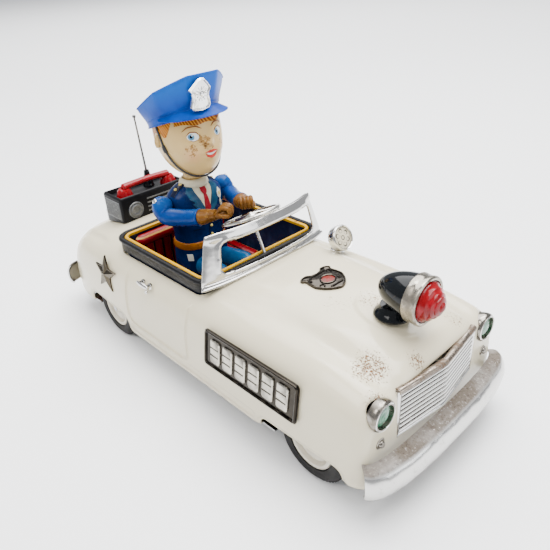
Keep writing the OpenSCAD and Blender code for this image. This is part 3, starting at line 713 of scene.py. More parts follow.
def arch_edge(p):
    """Distance to the nearer wheel arch, on the car's sides."""
    x, y, z = np.moveaxis(p, -1, 0)
    gaps = [rounded_rect(x, z, x0, x1, SILL - 30, top, r) for x0, x1, top, r in ARCHES]
    return np.where(np.abs(y) > 30, np.minimum(*gaps), 50)


def cockpit_edge(p):
    x, y, z = np.moveaxis(p, -1, 0)
    opening = rounded_rect(x, y, rim_low[0], rim_high[0], rim_low[1], rim_high[1], 7.8)
    return np.where(z > 45, opening, 50)


def end_edge(p):
    """Distance to the grille, lamp and switch openings."""
    x, y, z = np.moveaxis(p, -1, 0)
    side = np.abs(y)
    front = np.minimum(rounded_rect(y, z, grille_low[1], grille_high[1], grille_low[2], grille_high[2], 1.5),
                       np.hypot(side - HEAD_Y, z - head_mid[2]) - HEAD_R + 0.6)
    rear = np.hypot(side - (tail_high[1] - TAIL_R), z - tail_mid[2]) - TAIL_R + 0.3
    slot = rounded_rect(x, y, lever_mid[0] - 6, lever_mid[0] + 6, lever_mid[1] - 1.2, lever_mid[1] + 1.2, 1)
    return np.where(x > 103, front, np.where(x < -114, rear, np.where((x < -95) & (z > 40), slot, 50)))


def opening(p):
    return np.minimum(np.minimum(arch_edge(p), cockpit_edge(p)), end_edge(p))


# %% [markdown]
# The pressing's low relief is added along the surface's normal: the shut lines of the doors are narrow
# grooves, the sill has a raised strip, each wheel arch has a rolled lip, the rear deck has a soft crease
# from the tail to the cockpit, and the bonnet has ridges that fade forwards and a pad under the lamp.

# %% Relief of the body
DOOR_REAR, DOOR_FRONT, DOOR_LOW = -43, 9.5, 20.6
lamp_foot = box_mm("lamp_housing")[0][0] + 6.9


def line_gap(p, start, end):
    """Distance in plan from the straight line between two points, and the share of the way along it."""
    start, end = np.array(start, float), np.array(end, float)
    along = end - start
    flat = np.stack([p[..., 0], np.abs(p[..., 1])], -1) - start
    share = (flat @ along / (along @ along))
    gap = (flat[..., 0] * along[1] - flat[..., 1] * along[0]) / np.linalg.norm(along)
    return gap, share


def fade(value, start, end):
    t = ((value - start) / (end - start)).clip(0, 1)
    return t * t * (3 - 2 * t)


def relief(p):
    """Height of the pressing's relief in millimetres."""
    x, y, z = np.moveaxis(p, -1, 0)
    side = fade(np.abs(y), 41.5, 44)
    door = rounded_rect(x, z, DOOR_REAR, DOOR_FRONT, DOOR_LOW, 80, 5)
    height = -0.85 * bell(door, 0, 0.42) * side
    strip = rounded_rect(x, z, ARCHES[0][1] + 3, ARCHES[1][0] - 3, 14.4, 18.2, 1.6)
    height = height + 0.6 * (1 - fade(strip, -0.5, 0.5)) * side
    height = height + 0.75 * bell(arch_edge(p), 0.4, 1.1)
    height = height + 0.35 * bell(z, SILL, 0.9) * side
    gap, share = line_gap(p, (-112, 33.5), (-74, 37.4))
    deck = fade(share, -0.05, 0.15) * (1 - fade(share, 0.8, 1.05)) * (z > 44)
    height = height + deck * (0.75 * bell(gap, 0, 1.7) - 0.45 * bell(gap, 3.2, 2.2))
    low = fade(x, -108, -98) * (1 - fade(x, -74, -62)) * (np.abs(y) > 40)
    height = height + low * 0.7 * bell(z - (49.5 + (x + 100) * 0.12), 0, 1.3)
    for offset, reach in ((29.5, 58), (33.5, 66)):
        gap, share = line_gap(p, (17, offset), (96, offset - 4))
        ridge = fade(x, 17, 24) * (1 - fade(x, reach - 22, reach)) * (z > 50)
        height = height + ridge * 0.5 * bell(gap, 0, 0.9)
    pad = np.hypot((x - lamp_foot + 3) / 1.35, y) - 10.5
    height = height + 0.9 * (1 - fade(pad, -1.2, 1.2)) * (z > 50)
    lip = cockpit_edge(p)
    return height + 0.3 * bell(lip, 0.6, 1.2)


# %% The body's mesh
def spread(start, end, coarse, fine, places, reach=1.6):
    """Stations from start to end, coarse apart, and fine apart round the given places."""
    stations = [start]
    while stations[-1] < end:
        at = stations[-1]
        gap = min((abs(at - p) for p in places), default=99)
        stations.append(at + (fine if gap < reach else min(coarse, fine + (gap - reach) * 0.5)))
    return np.array(stations[:-1] + [end])


def body_stations():
    turn = FRONT - ROUND + ROUND * np.sin(np.radians(np.arange(0, 91, 9)))
    panel = FRONT + PANEL * np.linspace(0, 1, 44)[1:] ** 1.02
    back = REAR + ROUND - ROUND * np.sin(np.radians(np.arange(90, -1, -9)))
    back_panel = REAR - PANEL * np.linspace(1, 0, 36)[:-1] ** 1.02
    edges = [DOOR_REAR, DOOR_FRONT, ARCHES[0][0], ARCHES[0][1], ARCHES[1][0], ARCHES[1][1],
             rim_low[0], rim_high[0], lever_low[0], lever_high[0]]
    middle = spread(REAR + ROUND, FRONT - ROUND, 1.35, 0.42, edges)
    return np.concatenate([back_panel, back, middle[1:-1], turn, panel])


def body_angles():
    """Angles round the section, spaced by arc length and closer where the relief is fine."""
    a = np.linspace(0, math.pi / 2, 6000)
    line = body_point(np.full_like(a, -10.0), a)
    length = np.concatenate([[0], np.cumsum(np.linalg.norm(np.diff(line, axis=0), axis=1))])
    places = [h - SILL for h in (SILL, 14.4, 18.2, DOOR_LOW)]
    half = np.interp(spread(0, length[-1], 1.45, 0.45, places, 0.9), length, a)
    return np.concatenate([half, math.pi - half[-2::-1]])


def slide_to_edge(s, a, distance, rounds=4):
    """Moves points along the surface to where distance is nought."""
    for _ in range(rounds):
        d0 = distance(body_point(s, a))
        ds = (distance(body_point(s + 0.01, a)) - d0) / 0.01
        da = (distance(body_point(s, (a + 1e-4).clip(0, math.pi))) - d0) / 1e-4
        scale = 60.0
        slope = (ds ** 2 + (da / scale) ** 2).clip(0.04, None)
        s = s - (d0 * ds / slope).clip(-1.2, 1.2)
        a = (a - (d0 * da / slope / scale ** 2).clip(-0.03, 0.03)).clip(0, math.pi)
    return s, a


def edge_points(faces, keep):
    """The points that kept and dropped cells share."""
    return np.intersect1d(faces[keep], faces[~keep])


def used_only(points, faces):
    """Points and faces with the unused points left out."""
    used, again = np.unique(faces, return_inverse=True)
    return points[used], again.reshape(faces.shape)


def body_shape():
    s_all, a_all = body_stations(), body_angles()
    s, a = (g.ravel() for g in np.meshgrid(s_all, a_all, indexing="ij"))
    faces = rings_to_faces(len(s_all), len(a_all), wrap=False)
    middles = body_point(s[faces].mean(1), a[faces].mean(1))
    keep = opening(middles) > 0
    edge = edge_points(faces, keep)
    s[edge], a[edge] = slide_to_edge(s[edge], a[edge], opening)
    p = body_point(s, a)
    return used_only(p + body_normal(s, a) * relief(p)[:, None], faces[keep])


body_points, body_faces = body_shape()
body = piece("body_pressing", (body_points, body_faces), ivory_enamel, stands_for=["body_shell"],
             crease=50, closed=False)
print("body grid:", len(body_points), "points,", len(body_faces), "faces")


# %% [markdown]
# The sheet gets its thickness last. Solidify grows it inwards, so the outside stays where the rule put it,
# and the edges of every opening show the bare thickness of the tin.

# %% Thickness of the sheet
def thicken(made, thickness):
    wall = made.modifiers.new("sheet", "SOLIDIFY")
    wall.thickness, wall.offset = thickness * MM, -1.0
    wall.use_even_offset = False


SHEET = 0.6
thicken(body, SHEET)
print("body sheet is", SHEET, "mm thick")


# %% [markdown]
# ## Cockpit
#
# A black enamelled moulding rolls over the edge of the cockpit opening, with a worn yellow printed strip
# along its inside. The tray below it is one pressed box, printed dark blue, with rounded corners. Its
# outline is the same round-cornered rectangle at every height, so it is lofted from a few of them.

# %% Cockpit rim and its yellow strip
black_enamel = Finish("black_enamel", (0.005, 0.005, 0.006), 0.4, Coat_Weight=0.0, Specular_IOR_Level=0.12)
scuff = black_enamel.noise(5, detail=4, seed=6)
black_enamel.paint(scuff.above(0.62, 0.8) * 0.5, (0.10, 0.095, 0.09))
black_enamel.set(Roughness=0.38 + scuff.above(0.5, 0.8) * 0.25)
black_enamel.bump(black_enamel.noise(11, detail=1), 0.2)

yellow_strip = Finish("yellow_strip", (0.56, 0.30, 0.002), 0.35, Specular_IOR_Level=0.15)
axes = yellow_strip.axes()
yellow_strip.paint(yellow_strip.noise(9, detail=3).above(0.5, 0.7) * 0.5, (0.40, 0.25, 0.03))
pits = rusted(yellow_strip, axes, [], 0.9, seed=5)
yellow_strip.set(Roughness=0.35 + pits * 0.4)
yellow_strip.bump(1 - pits, 0.05)


def frame_loop(section, x0, x1, half, radius, corner=7):
    """A section [(outwards, height)] carried round a round-cornered rectangle."""
    rings = [at_height(rounded_outline(x0 - out, x1 + out, -half - out, half + out,
                                       max(radius + out, 0.3), corner), high) for out, high in section]
    return lofted(rings + [rings[0]], caps=False)


RIM_TOP = rim_high[2]
rim_section = [(0, 54.6), (0, 58.6), (0.5, 59.2), (1.0, 60.0), (0.9, 60.9), (0.2, 61.4), (-0.9, RIM_TOP),
               (-1.7, 61.2), (-2.2, 60.5), (-2.3, 59.4), (-2.3, 54.6)]
piece("cockpit_moulding", frame_loop(rim_section, rim_low[0], rim_high[0], rim_high[1], 7.8), black_enamel,
      stands_for=["cockpit_rim"], crease=60)
trim_low, trim_high = box_mm("rim_trim")[:2]
strip_section = [(0, -1.5), (0.25, -0.9), (0.15, -0.3), (-0.4, 0.25), (-1.1, 0.2), (-1.6, -0.2), (-1.6, -1.5)]
piece("cockpit_strip", frame_loop([(o, trim_high[2] + h - 0.1) for o, h in strip_section], trim_low[0],
                                  trim_high[0], trim_high[1], 5.6), yellow_strip,
      stands_for=["rim_trim"], crease=50)

# %% Cockpit tray
interior_print = Finish("interior_print", (0.006, 0.012, 0.040), 0.3, Coat_Weight=0.03,
                        Specular_IOR_Level=0.12)
axes = interior_print.axes()
smudge = interior_print.noise(10, detail=4, seed=2)
interior_print.paint(smudge.above(0.5, 0.75) * 0.7, (0.035, 0.055, 0.13))
pits = rusted(interior_print, axes, [], 0.6, seed=8)
interior_print.set(Roughness=0.28 + smudge * 0.2 + pits * 0.4)
interior_print.bump(interior_print.noise(8, detail=2, seed=4), 0.25)

tray_low, tray_high = box_mm("cockpit_tray")[:2]
tray_section = [(0, 1.2), (-0.5, 0.35), (-1.4, 0), (-30, 0), (-30, 0.6), (-1.6, 0.6), (-0.9, 0.9),
                (-0.6, 1.5), (-0.6, 31.2), (0, 31.2)]
tray_rings = [at_height(rounded_outline(tray_low[0] - o, tray_high[0] + o, tray_low[1] - o, tray_high[1] + o,
                                        max(6 + o, 0.2)), tray_low[2] + h) for o, h in tray_section]
tray = lofted(tray_rings + [tray_rings[0]], caps=False)
FLOOR_IN = 29
floor_plate = slab(rounded_outline(tray_low[0] + FLOOR_IN, tray_high[0] - FLOOR_IN, tray_low[1] + FLOOR_IN,
                                   tray_high[1] - FLOOR_IN, 0.5), tray_low[2], tray_low[2] + SHEET)
piece("cockpit_tray_pressing", joined(tray, floor_plate), interior_print, stands_for=["cockpit_tray"],
      crease=50)
print("rim top", RIM_TOP, "mm; tray floor", round(float(tray_low[2]), 1), "mm")


# %% [markdown]
# ## Seat
#
# The seat is printed and pressed tin that imitates pleated leather: a roll along the top, upright pleats
# below it and long pleats on the cushion. One pleat is a rounded bar, and the row tree repeats it. The
# print shows as a black outline between pleats and a pale streak on each, so the finish works out where
# it is across a pleat from the point's own place.

# %% Seat
def pleated(name, pitch, start):
    made = Finish(name, (0.20, 0.001, 0.006), 0.3, Coat_Weight=0.06, Specular_IOR_Level=0.15)
    place = made.axes()[1]
    turns = (place - start) / pitch * 2 * math.pi
    made.paint(turns.cosine().above(0.55, 0.95), (0.010, 0.004, 0.006))
    made.paint((turns + 2.2).sine().above(0.9, 0.98) * 0.65, (0.62, 0.40, 0.10))
    made.paint(made.noise(6, detail=3).above(0.55, 0.75) * 0.4, (0.16, 0.006, 0.012))
    made.set(Roughness=0.25 + made.noise(3, detail=3) * 0.2)
    return made.bump(made.noise(4, detail=3), 0.1)


back_low, back_high = box_mm("seat_back")[:2]
cushion_low, cushion_high = box_mm("seat_cushion")[:2]
PLEATS = 11
back_pitch = (back_high[1] - back_low[1]) / PLEATS
back_print = pleated("seat_back_print", back_pitch, float(back_low[1]))
cushion_pitch = (cushion_high[1] - cushion_low[1]) / PLEATS
cushion_print = pleated("cushion_print", cushion_pitch, float(cushion_low[1]))


def pleat(width, rows):
    """One rounded bar across y, following rows of (x, z, thickness along x, along z)."""
    a = np.linspace(0, math.pi, 9)
    across = -np.cos(a) * width / 2
    swell = np.sin(a) ** 0.6
    rings = []
    for x, z, tx, tz in rows:
        front = np.column_stack([x + tx * swell, across, z + tz * swell])
        rings.append(np.vstack([front, front[::-1] * (0, 1, 0) + (x, 0, z)]))
    return lofted(rings)


back_top = back_high[2] - 6.4
unit = pleat(back_pitch, [(back_low[0], back_low[2], 2.6, 0), (back_low[0], back_top, 3.2, 0)])
unit = shifted(unit, (0, back_low[1] + back_pitch / 2, 0))
uprights = repeated("back_pleats", "row", unit, back_print, Count=PLEATS, Step=(0, back_pitch * MM, 0))
roll_path = [(back_low[0] + 1.9, y, back_top + 3.2)
             for y in np.linspace(back_low[1] + 1, back_high[1] - 1, 24)]
roll = tube(roll_path, [1.6] + [3.1] * 22 + [1.6], 16)
seat_red = Finish("seat_roll_red", (0.20, 0.001, 0.006), 0.28, Coat_Weight=0.08, Specular_IOR_Level=0.15)
axes = seat_red.axes()
seat_red.paint((axes[2] - float(back_top)).above(1.4, 0.5), (0.010, 0.004, 0.006))
seat_red.paint(((axes[2] - float(back_top) - 5.2) ** 2).above(0.25, 0.05) * 0.6, (0.66, 0.42, 0.12))
seat_red.set(Roughness=0.22 + seat_red.noise(3, detail=3) * 0.2)
seat_red.bump(seat_red.noise(5, detail=3), 0.12)
piece("seat_back_pleats", uprights, back_print, stands_for=["seat_back"])
piece("seat_back_roll", roll, seat_red)
rows = [(cushion_low[0], cushion_low[2] + 4.4, 0, 1.5), (cushion_low[0] + 2, cushion_low[2] + 5, 0, 1.9),
        (cushion_high[0] - 3.2, cushion_low[2] + 5, 0, 1.9),
        (cushion_high[0] - 1, cushion_low[2] + 4.2, 0, 1.6),
        (cushion_high[0], cushion_low[2] + 2.4, 0, 1.2)]
unit = pleat(cushion_pitch, rows)
unit = shifted(unit, (0, cushion_low[1] + cushion_pitch / 2, 0))
long_pleats = repeated("cushion_pleats", "row", unit, cushion_print, Count=PLEATS,
                       Step=(0, cushion_pitch * MM, 0))
base = slab(rounded_outline(cushion_low[0], cushion_high[0], cushion_low[1], cushion_high[1], 3),
            cushion_low[2], cushion_low[2] + 4.6)
piece("seat_cushion_pleats", joined(long_pleats, base), cushion_print, stands_for=["seat_cushion"])
print(PLEATS, "pleats of", round(float(back_pitch), 2), "mm on the back")


# %% [markdown]
# ## Windshield and dashboard
#
# The windshield has no glass: it is one plated pressing, bowed forwards in plan and leaning back, with a
# wide opening. Its section changes from bottom rail to open window to top rail, so it is a grid with a
# hole, like the body: the same rule slides the inner edge on to a round-cornered outline. The rails are
# then given their roll by relief, and the sheet its thickness.

# %% Windshield
SCREEN_TOP = box_mm("windshield_frame")[1][2]
SCREEN_BASE, SCREEN_MID_BASE = 57.3, 59.4
WINDOW = (30.2, 63.3, 78.3, 3.4)       # half width low down, bottom, top and corner radius


def screen_point(u, v):
    """u runs -1 to 1 across, v 0 to 1 up."""
    half = 39.6 - 7 * v
    base = SCREEN_BASE + (SCREEN_MID_BASE - SCREEN_BASE) * (1 - u * u)
    plan = 15.5 + 6 * (1 - np.abs(u) ** 3)
    corner = 1.6 * v * np.abs(u) ** 8
    return np.stack([plan - 2 * v - corner * 0.4, u * half, base * (1 - v) + (SCREEN_TOP - corner) * v], -1)


def window_edge(p):
    x, y, z = np.moveaxis(p, -1, 0)
    narrow = np.abs(y) + (z - WINDOW[1]) * 0.17
    return rounded_rect(narrow, z, -WINDOW[0], WINDOW[0], WINDOW[1], WINDOW[2], WINDOW[3])


def screen_shape():
    nu, nv = 150, 44
    u, v = (g.ravel() for g in np.meshgrid(np.linspace(-1, 1, nu), np.linspace(0, 1, nv), indexing="ij"))
    faces = rings_to_faces(nu, nv, wrap=False)
    keep = window_edge(screen_point(u[faces].mean(1), v[faces].mean(1))) > 0
    edge = edge_points(faces, keep)
    nudge, wide, tall = 1e-4, 38, 24        # wide and tall: millimetres for one unit of u and of v
    for _ in range(4):
        d0 = window_edge(screen_point(u[edge], v[edge]))
        du = (window_edge(screen_point(u[edge] + nudge, v[edge])) - d0) / nudge / wide
        dv = (window_edge(screen_point(u[edge], v[edge] + nudge)) - d0) / nudge / tall
        slope = (du ** 2 + dv ** 2).clip(0.05, None)
        u[edge] -= (d0 * du / slope / wide).clip(-0.03, 0.03)
        v[edge] -= (d0 * dv / slope / tall).clip(-0.03, 0.03)
    p = screen_point(u, v)
    ahead = np.column_stack([np.ones(len(u)), 0.35 * u, 0.1 * np.ones(len(u))])
    ahead /= np.linalg.norm(ahead, axis=1, keepdims=True)
    z = p[:, 2]
    drop = z - (SCREEN_BASE + (SCREEN_MID_BASE - SCREEN_BASE) * (1 - u * u))
    lift = (1.0 * bell(window_edge(p), 0.4, 0.9) + 0.5 * bell(drop, 0.4, 0.7) - 0.5 * bell(drop, 2.2, 0.6)
            + 0.9 * bell(SCREEN_TOP - z, 2.4, 1.5)) - 0.5 * bell(1 - np.abs(u), 0.0, 0.02)
    return used_only(p + ahead * (lift[:, None] - 0.9), faces[keep])


screen = piece("windshield_pressing", screen_shape(), bright_plate, stands_for=["windshield_frame"],
               closed=False, crease=60)
thicken(screen, 0.9)
rail_u = np.linspace(-0.985, 0.985, 60)
rail = screen_point(rail_u, np.ones(60)) + np.array([-1.3, 0, -1.5])
piece("windshield_top_roll", tube(rail, 1.25, 12), bright_plate)
foot = screen_point(rail_u, np.zeros(60)) + np.array([0.2, 0, 0.75])
piece("windshield_foot_roll", tube(foot, 0.7, 10), bright_plate)

# %% Dashboard
dash_speckle = Finish("dash_speckle", (0.045, 0.047, 0.050), 0.4)
fleck = dash_speckle.noise(0.55, detail=5, roughness=0.75, seed=4)
dash_speckle.paint(fleck.above(0.50, 0.58) * 0.7, (0.26, 0.27, 0.28))
dash_speckle.paint(fleck.above(0.60, 0.66) * 0.8, (0.006, 0.006, 0.006))
dash_speckle.set(Roughness=0.4 + fleck * 0.3)
dash_speckle.bump(fleck, 0.03)
dash_low, dash_high, dash_mid = box_mm("dashboard")
section = [(dash_low[0], dash_low[2]), (dash_high[0], dash_low[2]), (dash_high[0], dash_high[2] - 1.6),
           *arc((dash_low[0] + 2.2, dash_high[2] - 2.2), 2.0, 60, 170, 7)]
ys = np.linspace(dash_low[1], dash_high[1], 33)
rings = [[(x, y, z - 1.6 * (abs(y) / dash_high[1]) ** 3 * (z > dash_mid[2])) for x, z in section] for y in ys]
piece("dashboard_pressing", lofted(rings), dash_speckle, stands_for=["dashboard"])
dial_white = Finish("dial_white", (0.62, 0.60, 0.52), 0.3)
dial_white.paint(dial_white.noise(1.2, detail=3).above(0.55, 0.7) * 0.5, (0.30, 0.27, 0.2))
dial_face = [turned([(0.01, 0), (3.1, 0), (3.4, 0.3), (3.6, 0), (3.6, -0.4), (0.01, -0.4)], 32, "x",
                    (dash_low[0] - 0.1, y, dash_mid[2] - 0.4)) for y in (-22, 22)]
dial_shape = joined(*[(p * (-1, 1, 1) + (2 * dash_low[0] - 0.2, 0, 0), f) for p, f in dial_face])
piece("dash_dials", dial_shape, dial_white)
needles = [block(dash_low[0] - 0.75, dash_low[0] - 0.45, y - 0.15, y + 0.15, dash_mid[2] - 0.6,
                 dash_mid[2] + 1.9)
           for y in (-22, 22)]
piece("dial_needles", joined(*needles), black_enamel)
print("windshield top at", round(float(SCREEN_TOP), 1), "mm")


# %% [markdown]
# ## Grille and bumpers
#
# The grille is a second pressing let into the nose. It folds forwards to a shallow point in the middle,
# and its bars fold with it, so one bar is a rounded strip along a V, and the row tree stacks the bars.
# The frame round them is a rolled edge, which here has lost most of its plating along the top.

# %% Grille
rusty_plate = plated("rusty_plate", (0.34, 0.29, 0.24), worn=0.9, seed=21, rust=0.95,
                     dulled=(0.08, 0.056, 0.038))
# painted shade: a near-black finish, with brown grime flecks, that stands for the shade between the grille
# bars and inside the siren's holes
painted_shade_black = Finish("painted_shade_black", (0.020, 0.016, 0.014), 0.7)
painted_shade_black.paint(painted_shade_black.noise(3, detail=4).above(0.5, 0.7) * 0.6, (0.07, 0.04, 0.025))
painted_shade_black.bump(painted_shade_black.noise(1.2, detail=3), 0.05)

GRILLE_HALF = grille_high[1]
NOSE = grille_high[0] - 0.6
SIDE = grille_low[0] + 2.2
BARS = 9


def fold(y, out=0.0):
    """The grille's plan: a V with its point softened."""
    y = np.asarray(y, float)
    slope = (NOSE - SIDE) / GRILLE_HALF
    return NOSE + out - slope * (np.sqrt(y * y + 1.2) - 1.1)


bar_y = np.linspace(-GRILLE_HALF + 1.2, GRILLE_HALF - 1.2, 41)
bar_z = grille_low[2] + 2.4
bar_path = np.column_stack([fold(bar_y, -0.5), bar_y, np.full(41, bar_z)])
bar_gap = (grille_high[2] - grille_low[2] - 4.6) / (BARS - 1)
bars = repeated("grille_bars", "row", tube(bar_path, 0.85, 10, flat=0.75), bright_plate,
                Count=BARS, Step=(0, 0, bar_gap * MM))
piece("grille_bars", bars, bright_plate, stands_for=["grille"])
edge_y = np.linspace(-GRILLE_HALF, GRILLE_HALF, 41)


def grille_rail(z, radius, flat, out):
    return tube(np.column_stack([fold(edge_y, out), edge_y, np.full(41, z)]), radius, 12, flat=flat)


top_rail = grille_rail(grille_high[2] - 0.3, 1.7, 0.75, -0.9)
piece("grille_top_roll", top_rail, rusty_plate)
low_rail = grille_rail(grille_low[2] + 0.7, 1.3, 0.7, -0.8)
posts = [tube([(SIDE - 0.6, side * GRILLE_HALF * 0.985, z)
               for z in np.linspace(grille_low[2], grille_high[2], 9)],
              1.2, 12, up=(0, 1, 0)) for side in (-1, 1)]
piece("grille_edges", joined(low_rail, *posts), bright_plate)
# painted shade: a black sheet just behind the bars stands for the shade between them
back_rows = [[(fold(y, -2.0), y, z) for y in edge_y] + [(fold(y, -2.6), y, z) for y in edge_y[::-1]]
             for z in (grille_low[2], grille_high[2])]
piece("grille_back", lofted(back_rows), painted_shade_black)
print(BARS, "grille bars", round(float(bar_gap), 2), "mm apart")

# %% [markdown]
# A bumper is one strip with the same section all along, bent round the end of the car. Its plan is nearly
# straight in front and turns back sharply at the corners. The section is a rule too: a flat ledge on top,
# a crease, a face that bulges, and a small return at the bottom.

# %% Bumpers
BUMPER_SECTION = [(-0.3, 4.4), (-0.1, 6.2), (-0.6, 8.6), (-1.3, 10.2), (-2.3, 11.5), (-3.4, 12.4),
                  (-4.6, 12.75),
                  ("ledge", 12.9), ("ledge", 12.3), (-4.6, 12.1), (-3, 11.3), (-1.9, 9.6), (-1.3, 7.0),
                  (-1.2, 4.4), (-1.8, 2.6), (-2.6, 1.5), (-3.8, 0.9), (-3.8, 0.2), (-2.6, 0.05), (-1.5, 0.7),
                  (-0.7, 2.2)]


def bumper_shape(node, direction, ledge):
    low, high, _ = box_mm(node)
    face = high[0] if direction > 0 else low[0]
    reach = high[0] - low[0]
    base, half = low[2], high[1]
    rings = []
    for a in np.radians(np.linspace(-78, 78, 97)):
        out = abs(math.cos(a)) ** 0.5
        side = math.copysign(abs(math.sin(a)) ** 0.75 / math.sin(math.radians(78)) ** 0.75, a)
        ring = []
        for depth, height in BUMPER_SECTION:
            depth = -ledge if depth == "ledge" else depth
            x = face - direction * (reach * (1 - out) - depth * (0.35 + 0.65 * out))
            ring.append((x, side * (half + depth * (1 - out)), base + height))
        rings.append(ring)
    return lofted(rings)


def dented(name, seed, ledge_height):
    """Bumper plating: bright face, brown ledge."""
    made = plated(name, worn=0.45, seed=seed, rust=0.35)
    z = made.axes()[2]
    crust = made.noise(1.1, detail=5, roughness=0.75, seed=seed + 7)
    patches = made.noise(16, detail=3, seed=seed + 9).above(0.36, 0.62)
    ledge = z.above(ledge_height - 1.2, ledge_height) * crust.above(0.22, 0.46)
    ledge = ledge * (patches * 0.3 + 0.7)
    made.paint(ledge * 0.92, (0.085, 0.058, 0.034))
    made.paint(ledge * crust.above(0.56, 0.66) * 0.8, (0.028, 0.017, 0.010))
    made.paint(ledge * crust.above(0.42, 0.30) * 0.7, (0.30, 0.26, 0.20))
    made.set(Roughness=0.22 + ledge * 0.5, Metallic=1 - ledge * 0.75)
    made.bump(made.noise(13, detail=2, seed=seed + 1), 0.9)
    return made.bump(crust * ledge, 0.12)


front_bumper_plate = dented("front_bumper_plate", 31, float(box_mm("front_bumper")[1][2]) - 0.6)
rear_bumper_plate = dented("rear_bumper_plate", 41, float(box_mm("rear_bumper")[1][2]) - 0.4)
piece("front_bumper_strip", bumper_shape("front_bumper", 1, 9), front_bumper_plate,
      stands_for=["front_bumper"], crease=50)
piece("rear_bumper_strip", bumper_shape("rear_bumper", -1, 4.6), rear_bumper_plate,
      stands_for=["rear_bumper"], crease=50)


# %% [markdown]
# ## Lamps
#
# Every lamp is turned: a plated bezel, and a moulded lens that sits inside it. Real glass and clear
# plastic would show the dull inside of the toy, so the lenses are tinted, glossy and only partly
# see-through. The big red lens is a stack of rings, each a little smaller than the last.

# %% Headlights and small lamps
dark_plate = plated("dark_plate", (0.26, 0.24, 0.21), worn=0.8, seed=15, rust=0.5, dulled=(0.15, 0.13, 0.10))
green_glass = Finish("green_glass", (0.045, 0.22, 0.115), 0.1, Transmission_Weight=0.25, IOR=1.45,
                     Coat_Weight=0.15)
green_glass.paint(green_glass.noise(4, detail=3).above(0.45, 0.7) * 0.6, (0.42, 0.58, 0.50))
green_glass.bump(green_glass.noise(1.6, detail=2), 0.06)
head_x = head_mid[0]
bezel = [(5.0, -2.1), (HEAD_R - 0.5, -2.1), (HEAD_R - 0.1, -0.6), (HEAD_R, 0.8), (HEAD_R - 0.3, 1.7),
         (HEAD_R - 0.9, 2.25), (HEAD_R - 1.5, 2.2), (5.0, 1.7), (4.8, 1.0)]
bezel_shape = turned(bezel + bezel[:1], 64, "x", (head_x, -HEAD_Y, head_mid[2]))
piece("headlight_bezels", both_sides(bezel_shape), dark_plate,
      stands_for=["headlight_rims"], crease=40)
lip = turned([(5.0, 1.72), (5.3, 2.35), (HEAD_R - 0.9, 2.42), (HEAD_R - 0.55, 2.2), (5.4, 1.9), (5.0, 1.72)],
             64, "x",
             (head_x, -HEAD_Y, head_mid[2]))
piece("headlight_lips", both_sides(lip), bright_plate)
lens_profile = [(0.001, 1.35), (0.9, 1.3), (1.0, 1.15), (1.9, 1.0), (2.0, 0.85), (2.9, 0.6), (3.0, 0.45),
                (3.9, 0.1),
                (4.0, -0.05), (4.95, -0.5), (4.95, -1.4), (0.001, -1.4)]
glass = turned(lens_profile, 64, "x", (head_x + 0.9, -HEAD_Y, head_mid[2]))
piece("headlight_glasses", both_sides(glass), green_glass, stands_for=["headlight_lenses"],
      crease=30)

parking_r = (parking_high[2] - parking_low[2]) / 2
parking_y = parking_high[1] - parking_r
small = [(0.001, 2.3), (0.7, 2.2), (1.3, 1.8), (1.6, 1.2), (1.6, 0.7), (2.0, 0.9), (2.4, 0.7), (2.4, 0.0),
         (0.001, 0.0)]
small_shape = turned(small, 32, "x", (FRONT - 0.3, -parking_y, parking_mid[2]))
piece("parking_lamp_buttons", both_sides(small_shape), dark_plate,
      stands_for=["parking_lamps"], crease=40)

ruby = Finish("ruby_lens", (0.22, 0.0, 0.003), 0.12, Transmission_Weight=0.3, IOR=1.46, Coat_Weight=0.5)
ruby.paint(ruby.noise(2, detail=3).above(0.5, 0.7) * 0.4, (0.20, 0.004, 0.008))
ruby.bump(ruby.noise(1.1, detail=2), 0.03)
tail_x = tail_high[0] - 1.6
tail_y = tail_high[1] - TAIL_R
dome = [(0.001, -3.0), (0.9, -2.85), (1.8, -2.4), (2.3, -1.7), (2.6, -0.9), (2.6, 0.4), (0.001, 0.4)]
dome_shape = turned(dome, 40, "x", (tail_x, -tail_y, tail_mid[2]))
piece("tail_lamp_lenses", both_sides(dome_shape), ruby, stands_for=["tail_lamps"],
      crease=40)
collar = [(2.6, -0.5), (2.9, -1.1), (3.2, -1.0), (TAIL_R, -0.3), (TAIL_R, 0.5), (2.6, 0.5), (2.6, -0.5)]
collar_shape = turned(collar, 40, "x", (tail_x, -tail_y, tail_mid[2]))
piece("tail_lamp_bezels", both_sides(collar_shape), bright_plate)

# %% Warning lamp
lamp_black = Finish("lamp_black", (0.003, 0.004, 0.005), 0.12, Coat_Weight=0.08, Specular_IOR_Level=0.2)
speck = lamp_black.noise(1.3, detail=4, roughness=0.7)
lamp_black.paint(speck.above(0.66, 0.72), (0.09, 0.07, 0.05))
lamp_black.set(Roughness=0.09 + speck.above(0.6, 0.75) * 0.4)
lamp_black.bump(lamp_black.noise(14, detail=1), 0.25)
ring_low, ring_high, ring_mid = box_mm("lamp_ring")
housing_low = box_mm("lamp_housing")[0]
LAMP_R = ring_high[1]
LAMP_X = ring_low[0]
LAMP = (LAMP_X, 0, ring_mid[2])
shell_len = LAMP_X - housing_low[0]
egg = [((LAMP_R - 0.75) * math.cos(a), -shell_len * math.sin(a))
       for a in np.radians(np.linspace(0, 89.9, 28))]
inner = [((LAMP_R - 1.6) * math.cos(a), -(shell_len - 1) * math.sin(a))
         for a in np.radians(np.linspace(89.9, 0, 20))]
egg_shape = turned(egg + inner + egg[:1], 72, "x", LAMP)
foot_profile = [(0.001, 3.6), (5.4, 3.6), (5.8, 2.6), (6.6, 1.2), (7.6, 0.3), (8.0, -0.6), (7.6, -1.4),
                (0.001, -1.4)]
foot_shape = turned(foot_profile, 56, "z", (lamp_foot, 0, 60.2))
piece("warning_lamp_shell", joined(egg_shape, foot_shape), lamp_black, stands_for=["lamp_housing"],
      crease=40)
